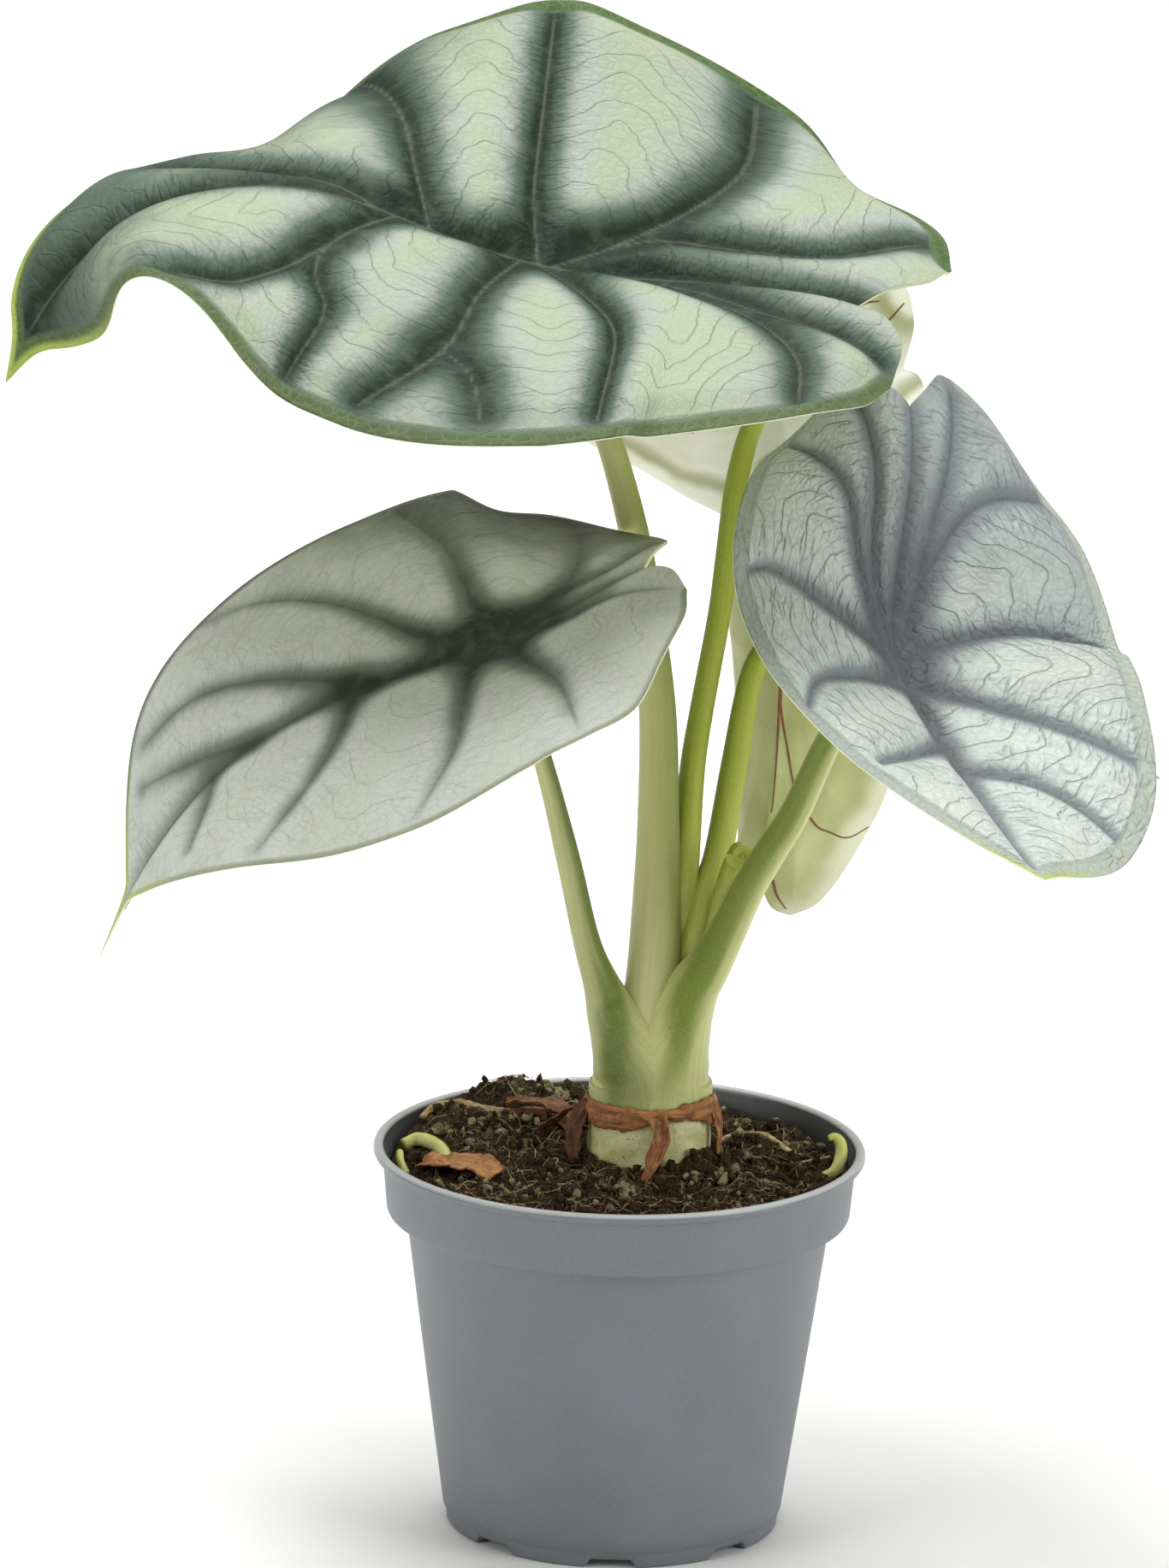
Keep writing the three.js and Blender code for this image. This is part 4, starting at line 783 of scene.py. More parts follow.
def leaf_under(name, skin, shade_colour, valley_shade=0.0):
    """Living leaf skin, underside: matt, pale yellow-green, translucent cream along the margin, with
    painted shade of the given strength in the trough where the margin rolls over."""
    m, add = new_material(name)
    flat = add("Attribute", take="Vector", attribute_name="flat")
    edge = add("Attribute", take="Fac", attribute_name="edge")
    fleck = grain(add, 0.7, 3.0, 0.6, flat)
    shade = grain(add, 20, source=flat)
    colour = laid(add, skin, shade_colour, shade, 0.3, 0.7)
    colour = laid(add, colour, shade_colour, fleck, 0.35, 0.75, 0.0, 0.2)
    colour = laid(add, colour, shade_colour, to_cell_border(add, (3, 3, 1), flat), 0.0, 0.1, 0.12, 0.0)
    border = add("Math", (shade, 10.0, edge), operation="MULTIPLY_ADD")
    colour = laid(add, colour, "#EEEFDC", border, 6.0, 14.0, 0.6, 0.0)
    # Painted shade in the trough where the margin rolls over, as strong as given
    roll = window(add, border, (9.0, 13.0), (13.0, 20.0), valley_shade)
    colour = add("Mix", (roll, colour, "#8F9456"), data_type="RGBA")
    return finish(m, colour, 0.55, fleck, 0.12, 0.4)


def vein_skin(name, colour, patch):
    """Raised vein of a leaf's underside: firm satin skin with darker patches 5 mm long."""
    m, add = new_material(name)
    clouds = grain(add, (2, 2, 5), 3.0, source=add("Attribute", take="Vector", attribute_name="skin"))
    return finish(m, laid(add, colour, patch, clouds, 0.35, 0.65), 0.5, clouds, 0.1)


# Stalks, stem and litter

def tube(line, sides, steps, ripple=None, inner=(0, 0, 80, 80)):
    """A tube along a middle line: ellipses across it, closed to a point at both ends.

    Each row is x, y, z, half width, half depth. The ring at a row is its middle plus cos(a) half
    widths along an axis across the line, plus sin(a) half depths along the axis square to both;
    the axis starts level, or along X where the line rises, and each ring takes it from the one
    before. ripple takes the angle and the length along, and gives a factor on the radius. The
    values are the place on an even tube for its skin's fibres, and how far the skin faces the
    inner side: 2 exp(-(angle from it / width)^2) - 1, where both the side's angle and the width, in
    degrees, ease from their first value to their second between 15 and 48 mm along.
    """
    rows, ahead, length = smooth_line(line, steps)
    centre, count = rows[:, :3], len(rows)
    axis = np.cross([0, 0, 1], ahead[0]) if abs(ahead[0, 2]) < 0.6 else np.array([1.0, 0, 0])
    side = np.empty_like(centre)
    for k, forward in enumerate(ahead):
        axis = axis - forward * (axis @ forward)
        axis = axis / np.linalg.norm(axis)
        side[k] = axis
    depth = np.cross(ahead, side)
    a = np.linspace(0, 2 * np.pi, sides, endpoint=False)
    factor = 1 if ripple is None else ripple(a[None], length[:, None])[:, :, None]
    ring = (np.cos(a)[None, :, None] * (rows[:, 3, None] * side)[:, None]
            + np.sin(a)[None, :, None] * (rows[:, 4, None] * depth)[:, None])
    body = centre[:, None] + ring * factor
    points = np.concatenate([body.reshape(-1, 3), centre[:1], centre[-1:]])
    k, hub = np.arange(sides), count * sides
    faces = np.concatenate([
        grid_triangles(count, sides, wrap=True)[:, ::-1],
        fan(hub, k, turned=True), fan(hub + 1, k + hub - sides)])
    even = rows[:, 3].mean()
    around = np.broadcast_arrays(even * np.cos(a), even * np.sin(a), length[:, None])
    skin = np.concatenate([np.stack(around, 2).reshape(-1, 3), [[0, 0, 0], [0, 0, length[-1]]]])
    eased = smooth(length, 15, 48)[:, None]
    toward, width = (first + (last - first) * eased for first, last in (inner[:2], inner[2:]))
    apart = (np.degrees(a)[None] - toward + 180) % 360 - 180
    facing = np.concatenate([(2 * np.exp(-(apart / width) ** 2) - 1).ravel(), [0, 0]])
    return points, faces, {"skin": skin, "inner": facing}


def sheet(grid, thickness, skin, wrap=False):
    """A grid of points as a thin solid: two faces half the thickness to each side along its normal,
    joined round the rim."""
    along = np.gradient(grid, axis=0)
    around = np.roll(grid, -1, 1) - np.roll(grid, 1, 1) if wrap else np.gradient(grid, axis=1)
    normal = np.cross(along, around)
    normal /= np.linalg.norm(normal, axis=2)[..., None] + 1e-12
    points, normal = grid.reshape(-1, 3), normal.reshape(-1, 3) * thickness / 2
    cells = grid_triangles(*grid.shape[:2], wrap)
    return closed_sheet(points + normal, points - normal, cells, {"skin": skin.reshape(-1, 3)})


def strip(line, curl, crumple, seed, axis=None, thickness=0.4):
    """A thin papery strip along a middle line, closed all round.

    Each row is x, y, z and half width. Across the line the strip is straight, lifted by curl
    times the share of the half width squared, and by noise of the given crumple; its edges are
    torn by up to a quarter. Its axis across is level unless one is given.
    """
    rows, ahead, length = smooth_line(line, 12)
    centre, run = rows[:, :3], length[:, None]
    side = np.cross([0, 0, 1], ahead)
    if axis is not None:
        side = np.array(axis, float) - ahead * (ahead @ axis)[:, None]
    side /= np.linalg.norm(side, axis=1)[:, None]
    up = np.cross(ahead, side)
    t = np.linspace(-1, 1, 17)[None]
    zero = 0 * t * run
    torn = 0.5 * (value_noise(run + zero, np.sign(t) * 9 + zero, zero, 1.6, seed) - 0.5)
    across = rows[:, 3:4] * t * (1 + torn * np.abs(t))
    fold = value_noise(run * 0.4 + zero, across, zero, 1.1, seed + 1) - 0.5
    lift = curl * t**2 + crumple * 2 * fold
    grid = centre[:, None] + side[:, None] * across[..., None] + up[:, None] * lift[..., None]
    return sheet(grid, thickness, np.stack([across, lift, run + zero], 2))


def clods(x, y, size, seed):
    """Round-topped clods on a bed: each cell of the given size has one middle put in it at random,
    and the height is a dome sqrt(1 - (distance to the nearest middle / 0.8 size)^2). Also gives
    each clod a tone from 0 to 1."""
    i, j = np.floor(x / size), np.floor(y / size)
    near = np.full(x.shape, 1e9)
    tone = np.zeros(x.shape)
    for di in (-1, 0, 1):
        for dj in (-1, 0, 1):
            a, b = i + di, j + dj
            mx = (a + 0.15 + 0.7 * hashed(a, b, 1, seed)) * size
            my = (b + 0.15 + 0.7 * hashed(a, b, 2, seed)) * size
            d = np.hypot(x - mx, y - my) * (0.8 + 0.5 * hashed(a, b, 3, seed))
            tone = np.where(d < near, hashed(a, b, 4, seed), tone)
            near = np.minimum(near, d)
    return np.sqrt(np.maximum(1 - (near / (0.8 * size)) ** 2, 0)), tone


def soil_height(x, y):
    """Height of the soil in mm: a level bed, a mound at the back left, a rise round the stem and
    seven crossing sine waves."""
    level, mound, stem, lump = 88.5, 6.5, 3.0, 0.9
    lumps = 0
    for k in range(7):
        angle, pitch = 2.4 * k + 0.5, 0.16 + 0.055 * k
        lumps = lumps + np.sin(pitch * (x * np.cos(angle) + y * np.sin(angle)) + 1.7 * k) / (1 + 0.45 * k)
    mounds = mound * bell(x, y, (-30, 38), 20.0)
    return level + mounds + stem * bell(x, y, STEM_CENTRE, 14.0) + lump * lumps / 1.6


def crumbly_bed(x, y):
    """The soil's height with its crumbs, and their tone: domed clods of 6, 3 and 1.5 mm, each with
    its own lift, on slow waves of noise, with a heap behind and a collar round the stem that is
    higher at its sides, eased at the pot's wall and pressed down under what lies on the bed. The
    tone is mostly the middle clods'."""
    slow = value_noise(x, y, np.zeros_like(x), 11.0, 1) - 0.5
    large, lift = clods(x + 2 * slow, y, 6.0, 11)
    middle, tone = clods(x, y + 2 * slow, 3.0, 12)
    small, shade = clods(x, y, 1.5, 13)
    ease = 1 - 0.7 * smooth(np.hypot(x, y), 50.5, 55)
    bumps = 2.2 * slow + 2.0 * (large * (0.5 + lift) - 0.7) + 1.5 * (middle * (0.4 + tone) - 0.5)
    heap = 3.2 * bell(x, y, (-34, 40), 12.0)
    sides = 1.0 + 3.2 * ((x - STEM_CENTRE[0]) / STEM_HOLLOW[0]) ** 2
    collar = sides * np.exp(-((stem_share(x, y, STEM_HOLLOW) - 1.03) / 0.13) ** 2)
    bumps = bumps + 0.7 * small + heap + collar
    for line in LITTER.values():
        near = line_place(np.array(line)[:, :2], x.ravel(), y.ravel())[0].reshape(x.shape)
        bumps = np.where(near < 6, np.minimum(bumps, 0.1 + 0.8 * np.maximum(near - 1, 0)), bumps)
    return soil_height(x, y) + ease * bumps, 0.62 * tone + 0.28 * shade


def over_soil(line):
    """Rows given by their height over the soil, as rows in space."""
    rows = np.array(line, float)
    rows[:, 2] += soil_height(rows[:, 0], rows[:, 1])
    return rows


def object_height(add):
    """Height over the ground in metres."""
    return add("SeparateXYZ", [add("TexCoord", take="Object")], take="Z")


def green_stalk(name, foot, outer, inner, low, high, spread=-0.5):
    """Living leaf stalk: smooth satin skin over long fibres 0.4 mm apart, pale at its sheathing
    foot, which ends between the heights low and high in mm, and deeper green on the side that
    faces the other stalks, from spread upward."""
    m, add = new_material(name)
    skin = add("Attribute", take="Vector", attribute_name="skin")
    facing = add("Attribute", take="Fac", attribute_name="inner")
    fibres = grain(add, (0.4, 0.4, 30), 3.0, 0.6, skin)
    clouds = grain(add, (4, 4, 26), 3.0, source=skin)
    fine = grain(add, (0.35, 0.35, 0.6), source=skin)
    side = add("Math", (clouds, facing), operation="ADD")
    colour = laid(add, outer, inner, side, spread, 1.5)
    rise = add("Math", (clouds, 16 * MM, object_height(add)), operation="MULTIPLY_ADD")
    rise = add("Math", (facing, 6 * MM, rise), operation="MULTIPLY_ADD")
    colour = laid(add, foot, colour, rise, (low + 8) * MM, (high + 8) * MM)
    colour = laid(add, colour, inner, fibres, 0.35, 0.7, 0.0, 0.22)
    colour = laid(add, colour, "#F4F4DC", fine, 0.4, 0.8, 0.0, 0.08)
    colour = laid(add, colour, "#5C5A2A", grain(add, (3, 3, 1.6), 1.0, source=skin), 0.81, 0.84, 0.0, 0.7)
    height = add("Math", (fine, 0.3, fibres), operation="MULTIPLY_ADD")
    return finish(m, colour, 0.45, height, 0.1, 0.3)


def pale_rhizome():
    """Living rhizome: firm, pale green-yellow skin with green patches and small corky specks,
    stained brown where the soil touches it."""
    m, add = new_material("Rhizome Skin")
    clouds = grain(add, (8, 8, 7), 3.0)
    fine = grain(add, (0.6, 0.6, 0.8), 3.0)
    patches = grain(add, (4, 4, 3.4), 4.0, 0.6)
    stain = add("Math", (patches, -7 * MM, object_height(add)), operation="MULTIPLY_ADD")
    colour = laid(add, "#C8C788", "#E6E0AE", clouds, 0.38, 0.62)
    colour = laid(add, colour, "#A9B067", patches, 0.45, 0.7, 0.0, 0.4)
    colour = laid(add, colour, "#9C9A68", fine, 0.5, 0.8, 0.0, 0.25)
    colour = laid(add, colour, "#6A5633", stain, 86.5 * MM, 91 * MM, 0.75, 0.0)
    colour = laid(add, colour, "#5B4E38", grain(add, (2.2, 2.2, 1.6)), 0.66, 0.72, 0.0, 0.75)
    return finish(m, colour, 0.5, add("Math", (fine, patches), operation="ADD"), 0.3)


def dried_tissue(name, light, dark, tan=None, until=0.0):
    """Dried leaf sheath: papery and brittle, rust brown that varies in 3.5 mm patches, the darker ones
    painted as the shade of folds, with long dark fibres 0.5 mm apart and pale patches painted as
    highlights. tan, if given, is its colour until that length along it, in mm."""
    m, add = new_material(name)
    skin = add("Attribute", take="Vector", attribute_name="skin")
    fibres = grain(add, (0.5, 0.5, 14), 4.0, 0.65, skin)
    clouds = grain(add, 3.5, 4.0)
    # Brown that varies in patches; the darker ones are painted shade of folds
    colour = laid(add, light, dark, clouds, 0.35, 0.65)
    if tan:
        colour = laid(add, tan, colour, add("SeparateXYZ", [skin], take="Z"), until - 3.0, until + 3.0)
    colour = laid(add, colour, "#4A2B1A", fibres, 0.42, 0.7, 0.0, 0.75)
    # Pale patches painted as highlights on the crumpled tissue
    colour = laid(add, colour, "#CFA270", clouds, 0.6, 0.78, 0.0, 0.55)
    return finish(m, colour, 0.6, add("Math", (fibres, clouds), operation="ADD"), 0.45)


def peat(name):
    """Peat potting soil: dark, damp and crumbly, with black clefts and ochre, grey and mossy crumbs."""
    m, add = new_material(name)
    tone = add("Attribute", take="Fac", attribute_name="tone")
    clouds = grain(add, 9, 4.0)
    fine = grain(add, 0.55, 4.0, 0.75)
    moss = grain(add, 13, 3.0)
    colour = laid(add, "#150F0B", "#5E4A33", fine, 0.34, 0.72)
    colour = laid(add, colour, "#5F4A30", clouds, 0.5, 0.75, 0.0, 0.4)
    colour = laid(add, colour, "#56552B", moss, 0.6, 0.74, 0.0, 0.35)
    pale = laid(add, "#6B5F41", "#C3BA92", fine, 0.3, 0.7)
    paleness = add("Math", (clouds, 0.25, tone), operation="MULTIPLY_ADD")
    colour = laid(add, colour, pale, paleness, 0.88, 1.12, 0.0, 0.95)
    return finish(m, colour, 0.9, fine, 0.5, 0.15)


def root_skin(name, light, dark):
    """Root or fibre: dull, cream to brown, with darker patches."""
    m, add = new_material(name)
    clouds = grain(add, 1.5, 3.0)
    return finish(m, laid(add, light, dark, clouds, 0.4, 0.7), 0.75, clouds, 0.15)


def moulded_plastic():
    """Injection-moulded polypropylene: matt blue-grey with a fine eroded grain of 0.2 mm, worn
    smoother and glossier on the rolled lip, with a painted highlight along the lip's top and painted
    shade on the inner wall, and with a little dried soil on it."""
    m, add = new_material("Grey Polypropylene")
    height = object_height(add)
    flat = add("VectorMath", (add("TexCoord", take="Object"), (1, 1, 0)), operation="MULTIPLY")
    radius = add("VectorMath", [flat], operation="LENGTH")
    lean = add("Math", (height, -0.1077, radius), operation="MULTIPLY_ADD")
    in_wall = add("MapRange", (lean, 47.2 * MM, 47.5 * MM, 1.0, 0.0), **EASED)
    over_step = add("MapRange", (height, 79.0 * MM, 79.6 * MM), **EASED)
    inside = add("Math", (in_wall, over_step), operation="MULTIPLY")
    fine = grain(add, 0.2, 2.0, 0.6)
    clouds = grain(add, 30, 3.0)
    dust = grain(add, (3.5, 3.5, 6), 4.0, 0.7)
    colour = laid(add, "#686B6F", "#797D81", fine, 0.3, 0.7)
    colour = laid(add, colour, "#7D838D", clouds, 0.4, 0.7, 0.0, 0.3)
    colour = laid(add, colour, "#A39C8C", dust, 0.72, 0.84, 0.0, 0.45)
    # Painted shade on the inner wall above the step
    colour = laid(add, colour, "#3D4048", clouds, 0.3, 0.7, 0.75, 0.95, inside)
    # A pale painted highlight along the top of the rolled lip
    colour = laid(add, colour, "#D3D6DA", height, 93.9 * MM, 94.7 * MM, 0.0, 0.8)
    roughness = add("MapRange", (height, 93.2 * MM, 94.0 * MM, 0.5, 0.2), **EASED)
    return finish(m, colour, roughness, fine, 0.05)


# Settings that a user would change

class PotSettings(bpy.types.PropertyGroup):
    """The nursery pot."""

    height: bpy.props.FloatProperty(
        name="Height", description="Height of the pot", default=0.095, unit="LENGTH")
    lip_radius: bpy.props.FloatProperty(
        name="Lip Radius", description="Outer radius of the rolled lip", default=0.060, unit="LENGTH")
    segments: bpy.props.IntProperty(
        name="Segments", description="Facets round the pot", default=160, min=24)


class SoilSettings(bpy.types.PropertyGroup):
    """The soil and what is mixed into it."""

    crumbs: bpy.props.IntProperty(
        name="Crumbs", description="Loose crumbs on the soil", default=3400, min=0)
    fibres: bpy.props.IntProperty(
        name="Fibres", description="Fine root fibres on the soil", default=1400, min=0)
    seed: bpy.props.IntProperty(name="Seed", description="Where the crumbs and fibres fall", default=7)


class LeafSettings(bpy.types.PropertyGroup):
    """The leaf blades."""

    thickness: bpy.props.FloatProperty(
        name="Thickness", description="Thickness of a blade away from its margin", default=0.0008,
        unit="LENGTH")
    silver: bpy.props.FloatVectorProperty(
        name="Silver", description="Colour of the panels of the top leaf", subtype="COLOR", size=4,
        default=hex_colour("#9CA39B"), min=0, max=1)
    band: bpy.props.FloatVectorProperty(
        name="Vein Band", description="Colour along the veins of the top leaf", subtype="COLOR", size=4,
        default=hex_colour("#243127"), min=0, max=1)


class StageSettings(bpy.types.PropertyGroup):
    """The floor, the lights and the camera."""

    key_power: bpy.props.FloatProperty(
        name="Top Light", description="Power of the large soft light overhead", default=34.0,
        unit="POWER")
    floor: bpy.props.FloatVectorProperty(
        name="Floor", description="Colour of the floor", subtype="COLOR", size=4,
        default=hex_colour("#F4F4F2"), min=0, max=1)


class ALOCASIA_OT_add_pot(bpy.types.Operator):
    """Turns the pot's profile and cuts its drain holes and foot notches"""

    bl_idname = "alocasia.add_pot"
    bl_label = "Add Pot"

    def execute(self, context):
        """Profile turned round +Z: radius and height in mm, with a notch lifting the foot ring where
        the angle is within half a notch of one of eight evenly spaced places."""
        settings = context.scene.alocasia_pot
        top, lip = settings.height / MM, settings.lip_radius / MM
        foot = [(0, 0), (27, 0), (27.8, 1.4), (34.7, 1.4), (35.5, 0), (39.9, 0), (40.5, 0.25),
                (40.7, 0.7), (41.1, 3.6), (41.2, 3.9), (41.5, 4.1)]
        body = [(46.7, 41.2), (51.7, 77.4)]
        band = [(51.95, 78.0), (55.4, 78.3), (56.2, 78.6), (56.45, 79.2), (57.6, top - 3.2),
                (57.85, top - 2.7)]
        roll = np.linspace(-0.35 * np.pi, 0.98 * np.pi, 14)
        lip_arc = np.stack([lip - 1.35 + 1.3 * np.cos(roll), top - 1.3 + 1.3 * np.sin(roll)], 1)
        inside = [(56.9, top - 2.2), (56.3, 91), (55.3, 79.9), (54.9, 79.5), (50.9, 78.9), (50.6, 78.3),
                  (39.6, 3.2), (39.1, 2.8), (0, 2.8)]
        profile = np.concatenate([foot, body, band, lip_arc, inside])
        spans = np.concatenate([[0], np.cumsum(np.linalg.norm(np.diff(profile, axis=0), axis=1))])
        stretches = [np.linspace(a, b, max(int((b - a) / 3), 1), endpoint=False)
                     for a, b in zip(spans, spans[1:])]
        where = np.append(np.concatenate(stretches), spans[-1])
        r, z = np.interp(where, spans, profile[:, 0]), np.interp(where, spans, profile[:, 1])
        a = np.linspace(0, 2 * np.pi, settings.segments, endpoint=False)
        spacing = 2 * np.pi / DRAIN_HOLES
        off_notch = (a + np.pi / 2 + spacing / 2) % spacing - spacing / 2
        foot_ring = (r > 34.9) & (z < NOTCH_HEIGHT)
        notch = (np.abs(off_notch) < NOTCH_HALF_ANGLE)[None] & foot_ring[:, None]
        height = np.where(notch, NOTCH_HEIGHT, z[:, None])
        points = np.stack([r[:, None] * np.cos(a), r[:, None] * np.sin(a), height], 2).reshape(-1, 3)
        shell = weld(points, grid_triangles(len(r), len(a), wrap=True)[:, ::-1], {})
        pot = add_piece("pot_shell", shell, [moulded_plastic()], "pot", ["pot"])

        holes = []
        for k in range(DRAIN_HOLES):
            angle = -math.pi / 2 + k * spacing
            x, y = DRAIN_CIRCLE * math.cos(angle), DRAIN_CIRCLE * math.sin(angle)
            holes.append(tube([(x, y, z, DRAIN_RADIUS, DRAIN_RADIUS) for z in (-2, 0, 2, 5)], 20, 1))
        points, faces, _ = joined(holes)
        cutter_mesh = bpy.data.meshes.new("drain_holes")
        cutter_mesh.from_pydata((points * MM).tolist(), [], faces.tolist())
        cutter = bpy.data.objects.new("drain_holes", cutter_mesh)
        context.scene.collection.objects.link(cutter)
        cut = pot.modifiers.new("holes", "BOOLEAN")
        cut.operation, cut.solver, cut.object = "DIFFERENCE", "EXACT", cutter
        context.view_layer.objects.active = pot
        bpy.ops.object.modifier_apply(modifier="holes")
        bpy.data.objects.remove(cutter)
        if len(pot.data.polygons) < 1000:
            raise RuntimeError("the drain holes could not be cut")
        return {"FINISHED"}


def crumb_ball():
    """The twelve corners and twenty triangles of a regular ball: all (0, 1, golden) with either sign,
    turned round the axes; three corners that lie close together make a triangle."""
    golden = (1 + 5**0.5) / 2
    signs = [(s, t * golden) for s in (-1, 1) for t in (-1, 1)]
    ball = np.array([(s, t, 0) for s, t in signs] + [(0, s, t) for s, t in signs]
                    + [(t, 0, s) for s, t in signs], float)
    ball /= np.linalg.norm(ball[0])
    far = np.linalg.norm(ball[:, None] - ball[None], axis=2)
    close = (far < 1.2) & (far > 0.1)
    corners = np.array([(i, j, k) for i in range(12) for j in range(i + 1, 12) for k in range(j + 1, 12)
                        if close[i, j] and close[j, k] and close[i, k]])
    a, b, c = (ball[corners[:, k]] for k in range(3))
    inward = (np.cross(b - a, c - a) * a).sum(1) <= 0
    corners[inward] = corners[inward, ::-1]
    return ball, corners


def turned_in_plane(points, angle, first, second):
    """Groups of points, each turned by its angle in the plane of two axes."""
    c, s = np.cos(angle)[:, None], np.sin(angle)[:, None]
    result = points.copy()
    result[..., first] = c * points[..., first] - s * points[..., second]
    result[..., second] = s * points[..., first] + c * points[..., second]
    return result


class ALOCASIA_OT_add_soil(bpy.types.Operator):
    """Fills the pot with crumbly soil, loose crumbs and fibres"""

    bl_idname = "alocasia.add_soil"
    bl_label = "Add Soil"

    def execute(self, context):
        """Adds the bed, the crumbs and the fibres, whose places are drawn in that order."""
        settings = context.scene.alocasia_soil
        rng = np.random.default_rng(settings.seed)
        material = peat("Damp Peat")
        add_piece("soil_bed", self.bed(), [material], "soil", ["soil"])
        add_piece("soil_crumbs", self.crumbs(settings.crumbs, rng), [material], "soil")
        strands = self.fibres(settings.fibres, rng)
        pale = root_skin("Root Fibre", "#B7A679", "#6B5233")
        dark = root_skin("Bark Fibre", "#6E4A30", "#352317")
        add_piece("soil_fibres_pale", joined(strands[::2]), [pale], "root")
        add_piece("soil_fibres_dark", joined(strands[1::2]), [dark], "root")
        return {"FINISHED"}

    def bed(self):
        """Rings and sectors of a disc at the crumbly height, cut off flat inside the stem's hollow and
        closed by a wall, which steps in with the pot, and a floor."""
        rings, sectors, hollow = 170, 400, 84
        radius = SOIL_RADIUS * np.linspace(0, 1, rings + 1)[1:, None]
        a = np.linspace(0, 2 * np.pi, sectors, endpoint=False)
        x, y = radius * np.cos(a), radius * np.sin(a)
        z, tone = crumbly_bed(x, y)
        z = np.where(stem_share(x, y, STEM_HOLLOW) < 0.97, np.minimum(z, hollow), z)
        for r, level in ((54.8, 80.8), (50.3, 78.9), (50.0, 77), (39.2, SOIL_FLOOR)):
            x, y = np.vstack([x, r * np.cos(a)]), np.vstack([y, r * np.sin(a)])
            z, tone = np.vstack([z, np.full(sectors, level)]), np.vstack([tone, np.zeros(sectors)])
        hubs = [[0, 0, hollow], [0, 0, SOIL_FLOOR]]
        points = np.concatenate([np.stack([x, y, z], 2).reshape(-1, 3), hubs])
        k, hub = np.arange(sectors), x.size
        faces = np.concatenate([
            grid_triangles(len(x), sectors, wrap=True), fan(hub, k),
            fan(hub + 1, k + hub - sectors, turned=True)])
        return points, faces, {"tone": np.append(tone.ravel(), [0, 0])}

    def crumbs(self, n, rng):
        """Crumbs spread evenly, and pale ones heaped on the clumps: each is a twelve-cornered ball
        squashed, turned and laid on the bed at random. Their tone rises where slow noise is high."""
        ball, corners = crumb_ball()
        r, angle = 54 * np.sqrt(rng.random(n)), rng.random(n) * 2 * np.pi
        heaps, clumps = rng.normal(0, 0.5, (len(CLUMPS), 70, 2)), np.array(CLUMPS)[:, None]
        heaps = (clumps[..., :2] + clumps[..., 2:] * heaps).reshape(-1, 2)
        x = np.concatenate([r * np.cos(angle), heaps[:, 0]])
        y = np.concatenate([r * np.sin(angle), heaps[:, 1]])
        pale = np.repeat([0.0, 1.0], [n, len(heaps)])
        keep = stem_share(x, y, STEM_CLEAR) > 1
        x, y, pale = x[keep], y[keep], pale[keep]
        n = len(x)
        size = 0.25 + 1.15 * rng.random(n) ** 3.5
        shape = size[:, None, None] * (0.5 + rng.random((n, 12, 1))) * (0.6 + 0.7 * rng.random((n, 1, 3)))
        spin = rng.random((3, n)) * 2 * np.pi
        points = turned_in_plane(turned_in_plane(ball[None] * shape, spin[0], 0, 1), spin[1], 1, 2)
        height = crumbly_bed(x, y)[0] + (0.3 + pale * rng.random(n)) * size
        points += np.stack([x, y, height], 1)[:, None]
        cluster = value_noise(x, y, np.zeros(n), 6, 41) + 0.4 * rng.random(n) + 0.5 * pale
        tone = np.repeat(0.45 * rng.random(n) + 0.75 * smooth(cluster, 0.75, 1.0), 12)
        faces = (corners[None] + 12 * np.arange(n)[:, None, None]).reshape(-1, 3)
        return points.reshape(-1, 3), faces, {"tone": tone}

    def fibres(self, n, rng):
        """Bent tubes of four points that lie on the bed, clear of the stem and the pot's wall."""
        r, angle, heading = 52 * np.sqrt(rng.random(n)), rng.random(n) * 6.28, rng.random(n) * 6.28
        bend, length = rng.normal(0, 0.6, n), 2 + 9 * rng.random(n) ** 2
        thick = 0.06 + 0.12 * rng.random(n) ** 3
        step = length[:, None] / 3 * np.array([0, 1, 1, 1])
        way = heading[:, None] + bend[:, None] * np.arange(4)
        x = (r * np.cos(angle))[:, None] + np.cumsum(step * np.cos(way), 1)
        y = (r * np.sin(angle))[:, None] + np.cumsum(step * np.sin(way), 1)
        z = crumbly_bed(x, y)[0] + 0.2 + 0.9 * rng.random((n, 4))
        clear = (np.hypot(x, y) < 54).all(1) & (stem_share(x, y, STEM_CLEAR) > 1).all(1)
        width = np.broadcast_to(thick[:, None], x.shape)
        lines = np.stack([x, y, z, width, width], 2)[clear]
        return [(*tube(line, 4, 3)[:2], {}) for line in lines]


